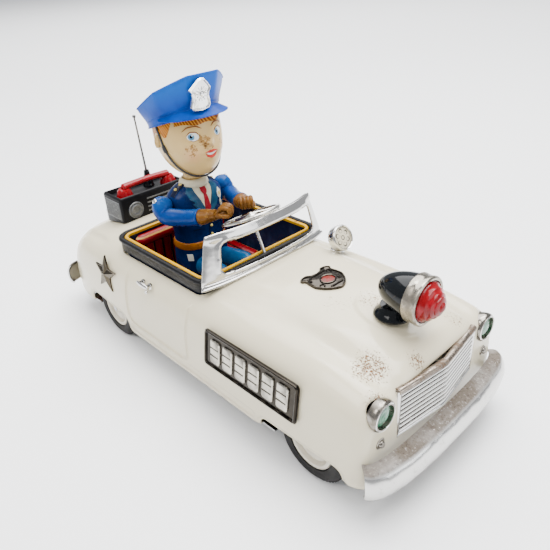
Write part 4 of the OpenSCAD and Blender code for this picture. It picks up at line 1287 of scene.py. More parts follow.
tail_cap = turned([(0.001, -0.55), (0.9, -0.4), (1.2, 0.1), (1.2, 0.8), (0.001, 0.8)], 24, "x",
                  (housing_low[0] + 0.5, 0, LAMP[2]))
piece("warning_lamp_screw", tail_cap, dark_plate)
band = [(LAMP_R - 1.0, -3.4), (LAMP_R - 0.35, -3.6), (LAMP_R - 0.1, -3.0), (LAMP_R - 0.3, -1.2),
        (LAMP_R - 0.25, 0.3),
        (LAMP_R, 1.0), (LAMP_R - 0.1, 1.8), (LAMP_R - 0.7, 2.25), (LAMP_R - 1.5, 2.1), (LAMP_R - 1.9, 1.4),
        (LAMP_R - 1.9, 0.2), (LAMP_R - 1.0, -0.4)]
ring_plate = plated("lamp_ring_plate", (0.34, 0.31, 0.26), worn=0.85, seed=52, rust=0.45,
                    dulled=(0.17, 0.15, 0.12))
piece("warning_lamp_ring", turned(band + band[:1], 96, "x", LAMP), ring_plate, stands_for=["lamp_ring"],
      crease=45)
red_plastic = Finish("red_plastic", (0.20, 0.0, 0.003), 0.16, Coat_Weight=0.04, Specular_IOR_Level=0.22,
                     Coat_Roughness=0.06, Transmission_Weight=0.1)
red_plastic.paint(red_plastic.noise(5, detail=2).above(0.5, 0.75) * 0.35, (0.50, 0.0, 0.02))
red_plastic.bump(red_plastic.noise(2.5, detail=2), 0.05)
steps = [(8.25, 0.4), (8.2, 2.1)]
for top_r, base_r, height in ((7.3, 8.0, 3.1), (5.9, 6.9, 5.0), (4.4, 5.4, 6.6), (2.7, 3.9, 7.8)):
    steps += [(base_r, height - 1.0), (base_r - 0.15, height - 0.5), (top_r, height)]
lens = steps + [(2.1, 7.9), (1.6, 8.45), (0.8, 8.75), (0.001, 8.8), (0.001, 0.4)]
piece("warning_lamp_lens", turned(lens + lens[:1], 96, "x", LAMP), red_plastic, stands_for=["lamp_lens"],
      crease=28)
bulb_glass = Finish("bulb_glass", (0.75, 0.68, 0.5), 0.1, Transmission_Weight=0.6)
bulb_glass.paint(bulb_glass.axes()[0].above(90, 94) * 0.4, (0.8, 0.75, 0.6))
refinish(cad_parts["lamp_bulb"], bulb_glass)
print("lens rises to x =", round(LAMP_X + 8.8, 1), "mm")


# %% [markdown]
# ## Siren, badge and side trim
#
# The siren is a little drum on a post, its cream face pierced with holes: one in the middle and six round
# it, which the ring tree places. The holes are not cut: each is a small dark disc of painted shade. The
# shield on the bonnet is die-cast, so its outline carries a raised border, scrolls and an enamelled oval.
# Any wording a real one would have is left plain.

# %% Siren
cream_face = Finish("cream_face", (0.62, 0.56, 0.42), 0.3)
cream_face.paint(cream_face.noise(1.4, detail=4).above(0.55, 0.7) * 0.7, (0.33, 0.26, 0.16))
cream_face.bump(cream_face.noise(2, detail=2), 0.05)
siren_low = box_mm("siren_horn")[0]
siren_foot = Vector((35.5, 29.5, float(siren_low[2])))
drum = (Matrix.Translation(siren_foot + Vector((1, 0, 7.4))) @ Matrix.Rotation(math.radians(62), 4, "Y")
        @ Matrix.Translation((0, 0, -2.5)))
shell = [(0.001, 0.0), (4.6, 0.0), (5.8, 0.5), (6.25, 1.4), (6.3, 3.6), (6.4, 4.4), (6.3, 5.2), (5.9, 5.6),
         (5.5, 5.3),
         (5.4, 4.5), (5.3, 4.2), (0.001, 4.2)]
post = [(0.001, 0.4), (3.4, 0.4), (3.8, 1.0), (3.6, 1.8), (2.6, 2.4), (2.2, 3.2), (2.1, 4.6), (0.001, 4.6)]
piece("siren_drum", joined(moved(turned(shell, 56), drum), turned(post, 40, "z", siren_foot)), bright_plate,
      stands_for=["siren_horn"], crease=40)
face = [(0.001, 4.9), (3.0, 4.85), (5.0, 4.6), (5.45, 4.35), (5.45, 4.2), (0.001, 4.2)]
piece("siren_face", moved(turned(face, 56), drum), cream_face)
# painted shade: each hole is a small dark disc on the face, standing for the shade inside it
cup = turned([(0.001, 4.86), (0.75, 4.86), (0.95, 5.0), (1.15, 4.95), (1.2, 4.6), (0.001, 4.6)], 16)
ring_unit = shifted(cup, (3.35, 0, -0.12))
cups = repeated("siren_cups", "ring", ring_unit, painted_shade_black, Count=6, Axis=(0, 0, 1), Middle=(0, 0, 0))
piece("siren_holes", moved(joined(cups, cup), drum), painted_shade_black)
print("siren drum radius", 6.4, "mm, tilted 62 degrees")

# %% Bonnet badge
gunmetal = plated("gunmetal", (0.060, 0.052, 0.042), worn=0.6, seed=61, rust=0.35,
                  dulled=(0.10, 0.085, 0.065))
badge_mid = box_mm("bonnet_badge")[2]
SHIELD = [(-6.6, 0), (-7.4, 3.2), (-9.0, 5.4), (-8.7, 8.0), (-7.0, 9.4), (-5.2, 8.2), (-3.2, 8.6), (0.4, 8.9),
          (3.6, 7.6), (6.4, 5.2), (8.3, 2.4), (9.0, 0)]


def deck_height(x, y):
    """Height of the bonnet at a place, from the body's rule."""
    x, y = np.broadcast_arrays(np.asarray(x, float), np.asarray(y, float))
    v = np.abs(y) / follow(WIDTH, x)
    rise = np.sqrt((1 - (v ** SQUARENESS)).clip(0, 1)) ** (2 / SQUARENESS)
    shoulder, crown = follow(SHOULDER, x), follow(CROWN, x)
    top = (crown - shoulder) * (1 - v * v) - follow(VALLEY, x) * bell(v, 0.62, 0.12)
    return SILL + (shoulder - SILL) * rise + top * rise ** 6


def on_bonnet(points, lift):
    """Points (x, y) of the badge laid on the bonnet, lift above it."""
    points = np.asarray(points, float)
    x, y = points[:, 0] + badge_mid[0], points[:, 1]
    return np.column_stack([x, y, deck_height(x, y) + lift])


shield = smooth_path(SHIELD + [(x, -y) for x, y in SHIELD[-2:0:-1]] + SHIELD[:1], 96, closed=True)
levels = [(1.0, -0.6), (1.0, 0.5), (0.985, 0.8), (0.93, 0.9), (0.90, 0.6), (0.6, 0.75), (0.3, 0.85),
          (0.02, 0.9)]
shield_shape = lofted([on_bonnet(shield * k, lift) for k, lift in levels])
border = closed_tube(on_bonnet(shield * 0.93, 0.85), 0.42, 8)
oval = np.array([(3.1 * math.cos(a) + 0.4, 3.7 * math.sin(a)) for a in circle_angles(40)])
oval_ring = closed_tube(on_bonnet(oval, 1.0), 0.38, 8)
scrolls = []
for side in (-1, 1):
    for x0, y0, size, turn in ((-4.8, 5.6, 1.7, 0.3), (2.6, 5.4, 1.5, 2.4)):
        t = np.linspace(0, 4.4, 22)
        curl = np.column_stack([x0 + size * np.exp(-0.28 * t) * np.cos(t + turn),
                                side * (y0 + size * np.exp(-0.28 * t) * np.sin(t + turn))])
        scrolls.append(tube(on_bonnet(curl, 0.95), 0.3, 6))
bands = [tube(on_bonnet(np.column_stack([np.full(17, x), np.linspace(-w, w, 17)]), 0.95), 0.45, 6)
         for x, w in ((-6.0, 4.6), (5.6, 3.6))]
piece("bonnet_shield", joined(shield_shape, border, oval_ring, *scrolls, *bands), gunmetal,
      stands_for=["bonnet_badge"], crease=45)
red_enamel = Finish("red_enamel", (0.16, 0.010, 0.006), 0.35, Coat_Weight=0.05, Specular_IOR_Level=0.2)
red_enamel.paint(red_enamel.noise(1.2, detail=4).above(0.5, 0.62) * 0.8, (0.10, 0.04, 0.03))
red_enamel.bump(red_enamel.noise(1, detail=3), 0.04)
centre = oval.mean(0)
oval_shape = lofted([on_bonnet(centre + (oval - centre) * k, 0.8 + 0.35 * (1 - k))
                     for k in (0.95, 0.6, 0.3, 0.02)])
piece("shield_enamel", oval_shape, red_enamel)

# %% [markdown]
# The plates along the front wings are stamped pewter with a raised border and six raised blocks where a
# name would stand. The door handle is a small bar on two posts, and the rear star is cut in facets that
# rise from its edge to ridges which meet in the middle.

# %% Side plates
pewter = plated("pewter", (0.50, 0.47, 0.40), worn=0.8, seed=71, rust=0.4)
pewter_dark = plated("pewter_dark", (0.030, 0.026, 0.021), worn=0.5, seed=77, rust=0.3,
                     dulled=(0.055, 0.046, 0.035))
plate_low, plate_high = box_mm("side_plates")[:2]
LEAN = 9


def on_side(shape, x, y, z, lean):
    """A shape drawn face up, stood on the right side of the car."""
    place = Matrix.Translation((x, y, z)) @ Matrix.Rotation(math.radians(90 - lean), 4, "X")
    return moved(shape, place)


PLATE = (plate_high[0] - plate_low[0], 18.0)
BLOCKS = 6
field = slab(rounded_outline(0, PLATE[0], 0, PLATE[1], 1.6, 5), -0.1, 0.55)
edge_line = np.array([(x, y, 0.75) for x,
                      y in rounded_outline(0.9, PLATE[0] - 0.9, 0.9, PLATE[1] - 0.9, 1.2, 6)])
raised = closed_tube(edge_line, 0.62, 8)
block_step = (PLATE[0] - 7.4) / BLOCKS
outline = rounded_outline(0, block_step - 1.9, 0, PLATE[1] - 6.6, 1.3, 5)
inner_outline = rounded_outline(0.5, block_step - 2.4, 0.5, PLATE[1] - 7.1, 0.9, 5)
levels = [(outline, 0.45), (outline, 1.1), (inner_outline, 1.45)]
unit = shifted(lofted([at_height(o, h) for o, h in levels]), (4.6, 3.3, 0))
groove_y = [(PLATE[1] - 6.6) * share for share in (0.34, 0.66)]
blocks = repeated("plate_blocks", "row", unit, pewter, Count=BLOCKS, Step=(block_step * MM, 0, 0))
grooves = [block(4.9 + i * block_step, 4.3 + i * block_step + block_step - 2.2, 3.3 + g - 0.35,
                 3.3 + g + 0.35,
                 1.4, 1.5) for i in range(BLOCKS) for g in groove_y]


def place_plate(shape):
    return both_sides(on_side(shape, plate_low[0], plate_low[1] + 0.35, plate_low[2] + 0.2, LEAN))


piece("side_plate_fields", place_plate(joined(field, raised)), pewter_dark, stands_for=["side_plates"])
piece("side_plate_blocks", place_plate(blocks), pewter, crease=40)
piece("side_plate_grooves", place_plate(joined(*grooves)), pewter_dark)

# %% Stars and door handles
bronze = plated("bronze", (0.085, 0.070, 0.048), worn=0.5, seed=81, rust=0.5, dulled=(0.05, 0.042, 0.03))
star_mid = box_mm("star_badges")[2]
tips = [(r * math.cos(a), r * math.sin(a)) for r, a in
        ((10.9 if i % 2 == 0 else 4.6, math.radians(90 + 36 * i)) for i in range(10))]
star_points = [(x, y, h) for h, k in ((0.0, 1.0), (0.7, 0.985)) for x,
               y in np.array(tips) * k] + [(0, 0, 2.3)]
star_faces = ([[i, (i + 1) % 10, 10 + (i + 1) % 10, 10 + i] for i in range(10)]
              + [[10 + i, 10 + (i + 1) % 10, 20] for i in range(10)] + [list(range(9, -1, -1))])
star_rim = closed_tube([(x * 0.94, y * 0.94, 0.75) for x, y in tips], 0.3, 6)
star = on_side(joined((star_points, star_faces), star_rim), star_mid[0], -46.9, 41, 8)
piece("rear_stars", both_sides(star), bronze, stands_for=["star_badges"], crease=12)
handle_low, _, handle_mid = box_mm("door_handles")
bar_x = np.linspace(-1.7, 7.7, 25)
bar_r = 1.25 * np.sqrt((1 - ((bar_x - 3) / 5.2) ** 8).clip(0.02,
                                                           1)) * (0.86 + 0.14 * np.cos((bar_x - 3) / 4.7 * 2))
grip = tube(np.column_stack([bar_x, 0 * bar_x, 2.5 + 0.3 * np.cos((bar_x - 3) / 5.2 * 1.5)]), bar_r, 14,
            flat=0.62)
posts = [turned([(0.001, -0.3), (1.7, -0.3), (1.7, 0.35), (1.1, 0.7), (1.0, 2.4), (0.001, 2.4)], 24, "z",
                (x, 0, 0))
         for x in (0, 6)]
lock = turned([(0.001, -0.3), (1.0, -0.3), (1.0, 0.3), (0.7, 0.6), (0.001, 0.6)], 20, "z", (3, -4.2, 0))
handle = on_side(joined(grip, *posts, lock), handle_low[0] + 1.6 + 1.5, -45.2, 48.8, 14)
piece("door_handle_bars", both_sides(handle), bright_plate, stands_for=["door_handles"],
      crease=40)
print("stars at x =", round(float(star_mid[0]), 1), "handles at x =", round(float(handle_mid[0]), 1))


# %% [markdown]
# ## Radio box, handset and antenna
#
# Behind the seat sits a radio: a folded tin box with soft corners, a ribbed panel on each side and a dial
# on the face behind the driver. The red handset lies across it. The box is lofted from round-cornered
# outlines, so its edges are soft without a bevel, and its bottom slopes with the deck.

# %% Radio box
radio_low, radio_high = box_mm("radio_box")[:2]


def radio_level(inset, z, slope=0.0):
    outline = np.array(rounded_outline(radio_low[0] + inset, radio_high[0] - inset, radio_low[1] + inset,
                                       radio_high[1] - inset, max(1.6 - inset, 0.3), 5))
    share = (outline[:, 0] - radio_low[0]) / (radio_high[0] - radio_low[0])
    return at_height(outline, z + slope * share)


TOP = radio_high[2]
levels = [radio_level(0.0, radio_low[2], 3.4), radio_level(0.0, TOP - 1.4), radio_level(0.25, TOP - 0.6),
          radio_level(0.7, TOP - 0.1), radio_level(1.3, TOP), radio_level(1.7, TOP - 0.5),
          radio_level(1.8, TOP - 2.6),
          radio_level(3.0, TOP - 2.9), radio_level(8.5, TOP - 2.9)]
piece("radio_case", lofted(levels), black_enamel, stands_for=["radio_box"], crease=50)
panel_grey = Finish("panel_grey", (0.10, 0.105, 0.11), 0.4)
panel_grey.paint(panel_grey.noise(1.5, detail=4).above(0.5, 0.7) * 0.7, (0.22, 0.22, 0.215))
panel_grey.bump(panel_grey.noise(0.8, detail=3), 0.04)
RIBS = 12
rib_step = (radio_high[0] - radio_low[0] - 5) / (RIBS - 1)
rib = tube([(radio_low[0] + 2.5, radio_low[1] - 0.02, z)
            for z in np.linspace(radio_low[2] + 5.2, TOP - 3.2, 7)],
           0.5, 8, up=(0, 1, 0))
ribs = repeated("radio_ribs", "row", rib, panel_grey, Count=RIBS, Step=(rib_step * MM, 0, 0))
panel = block(radio_low[0] + 1.8, radio_high[0] - 1.8, radio_low[1] - 0.15, radio_low[1] + 0.3,
              radio_low[2] + 4.6,
              TOP - 2.6)
side_panel = joined(ribs, panel)
piece("radio_side_panels", both_sides(side_panel), panel_grey, crease=40)
dial_at = (radio_high[0], -13.0, 62.0)
dial = turned([(0.001, 0.25), (2.2, 0.3), (2.4, 0.9), (3.1, 1.0), (3.4, 0.3), (4.2, 0.25), (4.6, 0.6),
               (4.9, 0.2),
               (4.9, -0.3), (0.001, -0.3)], 48, "x", dial_at)
slots = [block(radio_high[0] - 0.2, radio_high[0] + 0.25, -5, 16, z - 0.4, z + 0.4)
         for z in (59, 61.5, 64, 66.5)]
piece("radio_dial", joined(dial, *slots), panel_grey, crease=40)

# %% Handset
handset_red = Finish("handset_red", (0.22, 0.0, 0.004), 0.18, Coat_Weight=0.1, Specular_IOR_Level=0.2)
handset_red.paint(handset_red.noise(4, detail=3).above(0.55, 0.75) * 0.4, (0.22, 0.006, 0.012))
handset_red.bump(handset_red.noise(6, detail=2), 0.12)
set_low, _, set_mid = box_mm("radio_handset")
cup_profile = [(0.001, 0.0), (4.2, 0.0), (4.9, 0.5), (5.0, 1.3), (4.6, 2.2), (4.5, 2.6), (4.2, 3.4),
               (3.9, 4.8),
               (3.0, 5.9), (0.001, 6.3)]
cups = [turned(cup_profile, 40, "z", (set_mid[0], y, set_low[2])) for y in (set_mid[1] - 15, set_mid[1] + 15)]
grip_y = np.linspace(-16.2, 16.2, 31)
grip_z = set_low[2] + 6.5 + 0.9 * np.cos(grip_y / 16.2 * 1.5)
grip_r = 2.15 + 0.45 * np.abs(grip_y / 16.2) ** 2
grip_r[[0, -1]] *= 0.5
grip = tube(np.column_stack([np.full(31, set_mid[0]), set_mid[1] + grip_y, grip_z]), grip_r, 16, flat=0.8)
piece("handset_body", joined(grip, *cups), handset_red, stands_for=["radio_handset"],
      crease=40)

# %% Antenna
cone_low, cone_high, cone_mid = box_mm("antenna_base")
rod_low, rod_high = box_mm("antenna_rod")[:2]
cone = [(0.001, 0.0), (3.4, 0.0), (3.4, 0.8), (3.0, 1.4), (2.9, 2.6), (2.2, 5.4), (2.0, 5.8), (2.1, 6.4),
        (1.6, 9.4),
        (1.4, 9.9), (0.001, 9.9)]
piece("antenna_socket", turned(cone, 36, "z", (cone_mid[0], cone_mid[1], cone_low[2])), lamp_black,
      stands_for=["antenna_base"], crease=40)
rod_dark = plated("rod_dark", (0.14, 0.135, 0.13), worn=0.6, seed=91, rust=0.3)
foot_point = np.array([cone_mid[0], cone_mid[1], cone_high[2] - 2])
tip_point = np.array([rod_low[0] + 1.0, cone_mid[1], rod_high[2] - 1.1])
rod = tube(foot_point + (tip_point - foot_point) * np.linspace(0, 1, 20)[:, None],
           np.linspace(0.72, 0.5, 20), 10, up=(0, 1, 0))
ball_profile = [(1.05 * math.cos(a), 1.05 * math.sin(a)) for a in np.radians(np.linspace(-89.9, 89.9, 15))]
ball = turned(ball_profile, 20, "z", tip_point)
piece("antenna_whip", joined(rod, ball), rod_dark, stands_for=["antenna_rod"])
print("antenna tip", [round(float(v), 1) for v in tip_point])


# %% [markdown]
# ## The driver's coat
#
# The driver is lithographed tin: a hollow torso printed as a blue coat, with separate tube arms on
# rivets. The torso is a rule again: half depth and half width change with height, and each level is a
# slightly squared oval. What is printed on the chest is made as thin raised patches that follow that same
# rule, so that every edge of shirt, tie and lapel stays crisp.

# %% Coat
def printed(name, color, shade, seed=1, gloss=0.24):
    """Printed tin: a colour that is shaded in soft patches, with small chips."""
    made = Finish(name, color, gloss, Coat_Weight=0.05, Specular_IOR_Level=0.1)
    made.paint(made.noise(7, detail=2, seed=seed).above(0.4, 0.7) * 0.55, shade)
    chips = made.noise(1.0, detail=5, roughness=0.7, seed=seed + 3).above(0.70, 0.74)
    made.paint(chips, (0.10, 0.06, 0.03))
    made.set(Roughness=gloss + chips * 0.4 + made.noise(4, seed=seed + 5) * 0.08)
    return made.bump(made.noise(5, detail=2, seed=seed + 7), 0.12).bump(1 - chips, 0.04)


coat_blue = printed("coat_blue", (0.0015, 0.016, 0.085), (0.0015, 0.005, 0.030), seed=1)
lapel_blue = printed("lapel_blue", (0.018, 0.075, 0.14), (0.004, 0.020, 0.06), seed=11)
shirt_cream = printed("shirt_cream", (0.62, 0.57, 0.42), (0.48, 0.42, 0.28), seed=21)
tie_red = printed("tie_red", (0.30, 0.010, 0.022), (0.15, 0.004, 0.01), seed=31)
belt_tan = printed("belt_tan", (0.30, 0.09, 0.002), (0.12, 0.03, 0.001), seed=41)
gilt = printed("gilt", (0.60, 0.46, 0.12), (0.30, 0.22, 0.06), seed=51)
print_white = printed("print_white", (0.72, 0.70, 0.62), (0.55, 0.50, 0.38), seed=61)
coat_line = printed("coat_line", (0.004, 0.008, 0.03), (0.01, 0.01, 0.02), seed=71)

torso_low, torso_high = box_mm("driver_torso")[:2]
TORSO_X = -39.0
TORSO_DEPTH = [(torso_low[2], 11.4), (46, 11), (58, 10), (70, 11), (79, 10), (84.5, 7), (86.4, 4.6)]
TORSO_HALF = [(torso_low[2], 15.4), (46, 15), (58, 13.8), (70, 15.4), (79, 15.4), (84.5, 10.6), (86.4, 5)]


def torso_level(z, lift=0.0, steps=64):
    a = circle_angles(steps)
    c, s = np.cos(a), np.sin(a)
    depth, half = follow(TORSO_DEPTH, z) + lift, follow(TORSO_HALF, z) + lift
    return np.column_stack([TORSO_X + depth * np.sign(c) * np.abs(c) ** 0.8,
                            half * np.sign(s) * np.abs(s) ** 0.8, np.full(steps, z)])


def on_chest(y, z, lift=0.0):
    """The coat's front at a width and a height."""
    depth, half = follow(TORSO_DEPTH, z) + lift, follow(TORSO_HALF, z) + lift
    x = TORSO_X + depth * (1 - np.abs(y / half).clip(0, 1) ** 2.5) ** 0.4
    return np.stack([x, y, z], -1)


def chest_patch(rows, lift, thick=0.35, steps=9, rows_between=7):
    """A thin raised patch from rows of (z, y on one side, y on the other)."""
    rows = sorted(rows)
    z = np.linspace(rows[0][0], rows[-1][0], (len(rows) - 1) * rows_between + 1)
    left = np.interp(z, [r[0] for r in rows], [r[1] for r in rows])
    right = np.interp(z, [r[0] for r in rows], [r[2] for r in rows])
    share = np.linspace(0, 1, steps)
    y = left[:, None] * (1 - share) + right[:, None] * share
    zz = np.repeat(z[:, None], steps, 1)
    front, back = on_chest(y, zz, lift), on_chest(y, zz, lift - thick)
    return lofted([np.vstack([f, b[::-1]]) for f, b in zip(front, back)])


levels = np.concatenate([np.linspace(torso_low[2], 79, 30), np.linspace(80, 86.4, 10)])
coat = lofted([torso_level(z) for z in levels])
piece("driver_coat", coat, coat_blue, stands_for=["driver_torso"])
shirt = chest_patch([(70.5, -0.4, 0.4), (78, -3.2, 3.2), (83, -5.4, 5.4), (85.6, -5.2, 5.2)], 0.25)
neckband = turned([(5.4, 84.6), (7.4, 84.4), (7.9, 85.4), (7.2, 87.2), (6.4, 88.3), (5.8, 88.4), (5.5, 87.6),
                   (5.4, 84.6)], 48, "z", (TORSO_X + 1, 0, 0))
piece("shirt_front", joined(shirt, neckband), shirt_cream, crease=50)
knot = chest_patch([(81.2, -1.0, 1.0), (82.6, -1.7, 1.7), (84.4, -1.5, 1.5)], 0.95, 0.7)
blade = chest_patch([(70.8, -0.2, 0.2), (73.2, -1.8, 1.8), (77, -1.4, 1.4), (81.4, -0.8, 0.8)], 0.6)
piece("driver_tie", joined(knot, blade), tie_red, crease=40)
lapel = chest_patch([(69.5, 0.0, 0.5), (73, 1.6, 5.4), (77.0, 3.1, 8.0), (77.6, 3.4, 6.6), (80, 4.3, 9.0),
                     (83, 5.4, 9.6), (85.2, 5.4, 7.6)], 0.55, 0.5)
piece("coat_lapels", both_sides(lapel), lapel_blue, crease=40)
seam = chest_patch([(torso_low[2], -0.35, 0.05), (69.8, -0.35, 0.05)], 0.12, 0.3)
pocket_edges = [chest_patch([(z, s * 4.8 - 0.2, s * 4.8 + 4.6 * s),
                             (z + 0.5, s * 4.8 - 0.2, s * 4.8 + 4.6 * s)],
                            0.15, 0.3) for s in (-1, 1) for z in (62.5, 66.2, 46)]
piece("coat_seams", joined(seam, *pocket_edges), coat_line)


def chest_button(y, z, radius):
    dome = turned([(radius, 0.0), (radius * 0.9, 0.35), (radius * 0.5, 0.6), (0.001, 0.65)], 16, "x")
    return shifted(dome, on_chest(np.array(y), np.array(z), 0.1))


buttons = [chest_button(1.3, z, 0.8) for z in (67.5, 62.5, 57.6, 48.5)]
piece("coat_buttons", joined(*buttons), gilt, crease=60)
shield_rows = [(75.6, 9.0, 9.4), (77.2, 7.8, 10.6), (79.4, 7.6, 10.8), (80.4, 8.4, 10.0), (81.4, 9.0, 9.4)]
medal_rows = [(71.6, 9.0, 9.4), (72.6, 8.4, 10.0), (74.2, 8.5, 9.9), (75.2, 9.0, 9.4)]
piece("chest_badges", joined(chest_patch(shield_rows, 0.6, 0.5), chest_patch(medal_rows, 0.6, 0.5)),
      print_white)
piece("chest_badge_centres", joined(chest_patch([(77.6, 8.6, 9.8), (79.2, 8.6, 9.8)], 0.75, 0.4),
                                    chest_patch([(73, 8.9, 9.5), (73.9, 8.9, 9.5)], 0.75, 0.4)), gilt)

# %% Belt, pockets and shoulder straps
BELT_Z = 53.5
belt_levels = [(-1.9, 0.1), (-1.8, 0.5), (-1.2, 0.75), (1.2, 0.75), (1.8, 0.5), (1.9, 0.1)]
belt = lofted([torso_level(BELT_Z + h, lift) for h, lift in belt_levels])
piece("driver_belt", belt, belt_tan, crease=50)
buckle = closed_tube([on_chest(np.array(y), np.array(z), 1.0) for y, z in
                      rounded_outline(-2.3, 2.3, BELT_Z - 2.1, BELT_Z + 2.1, 0.6, 4)], 0.42, 8, up=(1, 0, 0))
tongue = tube([on_chest(np.array(y), np.array(float(BELT_Z)), 1.1) for y in np.linspace(-2.2, 1.8, 7)], 0.3,
              8)
piece("belt_buckle", joined(buckle, tongue), gilt)
# a white patch on the right hip
tab = chest_patch([(45.5, -13.6, -11.6), (49.3, -13.6, -11.6)], 0.3, 0.5)
piece("hip_label", tab, print_white)


def shoulder_strap(side):
    """A strap that lies over the shoulder, from the collar to the arm."""
    y = np.linspace(6.6, 14.4, 9)
    half = 1.9
    z = [float(np.interp(v, [5, 10.6, 15.4], [86.4, 84.5, 79.6])) + 0.5 for v in y]
    rings = []
    for v, h in zip(y, z):
        rings.append([(TORSO_X + 1 + dx, side * v, h + dz) for dx, dz in
                      ((-half, -0.7), (-half, 0.15), (-half + 0.4, 0.4), (half - 0.4, 0.4), (half, 0.15),
                       (half, -0.7))])
    return lofted(rings)


piece("shoulder_straps", joined(shoulder_strap(-1), shoulder_strap(1)), coat_line,
      crease=40)
studs = [turned([(0.9, -0.3), (0.9, 0.3), (0.5, 0.6), (0.001, 0.65)], 16, "z", (TORSO_X + 1, side * y, z))
         for side in (-1, 1) for y, z in ((8.4, 86.1), (11.6, 84.4))]
piece("shoulder_studs", joined(*studs), gilt)
print("coat from", round(float(torso_low[2]), 1), "to", round(float(torso_high[2]), 1), "mm")


# %% [markdown]
# Trousers, sleeves and gloves are bars along smooth paths: a bar's radius can change along it, which
# makes a shoulder wide, a cuff flared and a finger round at its end. The right side is drawn, and the
# left one is its mirror image, with its faces turned over so that they still point outwards.

# %% Trousers and shoes
trouser_blue = printed("trouser_blue", (0.002, 0.070, 0.19), (0.001, 0.026, 0.09), seed=81)
shoe_black = Finish("shoe_black", (0.012, 0.010, 0.010), 0.2, Coat_Weight=0.4)
shoe_black.paint(shoe_black.noise(2, detail=4).above(0.6, 0.75), (0.08, 0.05, 0.04))
shoe_black.bump(shoe_black.noise(2, detail=3), 0.06)
leg_path = smooth_path([(-28, -7.6, 41.8), (-21.6, -8, 42.6), (-13, -8.5, 43.6), (-8.6, -8.8, 41.2),
                        (-4, -9, 34.6),
                        (-3, -9, 32.4)], 48)
leg_r = np.interp(np.linspace(0, 1, 48), [0, 0.3, 0.55, 0.75, 1.0], [5.3, 5.3, 5.0, 4.5, 4.3])
leg_r = leg_r + 0.12 * np.sin(np.linspace(0, 26, 48)) * bell(np.linspace(0, 1, 48), 0.6, 0.16)
leg = tube(leg_path, leg_r, 28, up=(0, 1, 0), flat=0.92)
piece("driver_trousers", both_sides(leg), trouser_blue, stands_for=["driver_legs"],
      crease=60)


def shoe_level(z, length, half, x0):
    a = circle_angles(28)
    return np.column_stack([x0 + length * np.cos(a) * (0.75 + 0.25 * (np.cos(a) > 0)), -9 + half * np.sin(a),
                            np.full(28, z)])


shoe = lofted([shoe_level(*row)
               for row in ((28.95, 6.0, 3.5, -1.0), (29.5, 6.4, 3.9, -1.0), (30.2, 6.2, 3.8, -1.1),
                                            (31.4, 5.2, 3.6, -1.8), (32.4, 4.0, 3.3, -2.6),
                           (33.0, 3.0, 2.8, -3.0))])
piece("driver_shoes", both_sides(shoe), shoe_black, crease=50)

# %% Sleeves
sleeve_blue = printed("sleeve_blue", (0.0, 0.034, 0.19), (0.0, 0.014, 0.09), seed=91)
arm_axes = sleeve_blue.axes()
# painted highlight: the sleeve is painted lighter blue the higher it is, on the upper arm towards the
# shoulder
sleeve_blue.paint((arm_axes[2] - 76.0).above(0.5, 4.5) * 0.35, (0.0, 0.085, 0.30))
sleeve_path = smooth_path([(-41.2, -18.1, 82.0), (-40.4, -19.2, 79.2), (-38.6, -20.4, 75.4),
                           (-35, -20.2, 73.3),
                           (-28, -17.6, 73.7), (-17.2, -13.5, 75.5)], 52)
share = np.linspace(0, 1, 52)
sleeve_r = np.interp(share, [0, 0.03, 0.08, 0.16, 0.35, 0.7, 0.96, 1],
                     [1.6, 3.6, 4.9, 5.3, 4.7, 4.2, 4.15, 4.3])
sleeve_r += 0.14 * np.sin(share * 60) * bell(share, 0.36, 0.1)
sleeve = tube(sleeve_path, sleeve_r, 36, up=(0, 1, 0.3))
ahead = sleeve_path[-1] - sleeve_path[-2]
cuff_turn = Vector(ahead).to_track_quat("Z", "Y").to_matrix().to_4x4()
cuff_place = Matrix.Translation(Vector(sleeve_path[-1])) @ cuff_turn
cuff_edge = moved(turned([(3.3, -0.4), (4.25, -0.5), (4.45, 0.1), (4.2, 0.5), (3.5, 0.4), (3.3, -0.4)], 36),
                  cuff_place)
sleeve_shape = joined(sleeve, cuff_edge)
piece("right_sleeve", sleeve_shape, sleeve_blue, "right_arm_body", ["right_arm"], 50)
piece("left_sleeve", mirrored(sleeve_shape), sleeve_blue, "left_arm_body", ["left_arm"], 50)
rivet = [(0.001, 1.0), (1.0, 0.9), (1.8, 0.55), (2.3, 0.0), (2.3, -0.5), (0.001, -0.5)]
pin = turned(rivet, 28, "y", (-40.5, -23.2, 80))
piece("shoulder_rivets", both_sides(pin), bright_plate, stands_for=["driver_pins"],
      crease=50)

# %% Gloves
glove_brown = printed("glove_brown", (0.15, 0.060, 0.010), (0.05, 0.018, 0.004), seed=101)
grain = glove_brown.noise(1.6, detail=4, seed=9)
glove_brown.paint(grain.above(0.55, 0.68) * 0.5, (0.32, 0.16, 0.03))
glove_brown.bump(grain, 0.06)
FIST = np.array([-4.6, -6.6, 79.7])
GRIP_AHEAD = np.array([0.76, 0.51, 0.40])
GRIP_AHEAD /= np.linalg.norm(GRIP_AHEAD)
GRIP_SIDE = np.cross(GRIP_AHEAD, (0, 0, 1))
GRIP_SIDE /= np.linalg.norm(GRIP_SIDE)
GRIP_UP = np.cross(GRIP_SIDE, GRIP_AHEAD)


def at_fist(ahead, side, up):
    return FIST + GRIP_AHEAD * ahead + GRIP_SIDE * side + GRIP_UP * up


def finger(side, radius, reach):
    path = smooth_path([at_fist(-2.6, side * 0.9, 1.9), at_fist(0.2, side, 2.7),
                        at_fist(reach - 0.8, side, 1.9),
                        at_fist(reach, side, 0.1), at_fist(reach - 0.9, side * 0.96, -1.7),
                        at_fist(-0.6, side * 0.9, -2.3)], 22)
    along = np.linspace(0, 1, 22)
    r = radius * np.interp(along, [0, 0.12, 0.9, 1], [0.75, 1, 0.95, 0.4])
    r = r * (1 + 0.10 * bell(along, 0.32, 0.07) + 0.08 * bell(along, 0.6, 0.07))
    return tube(path, r, 12, up=tuple(GRIP_SIDE))


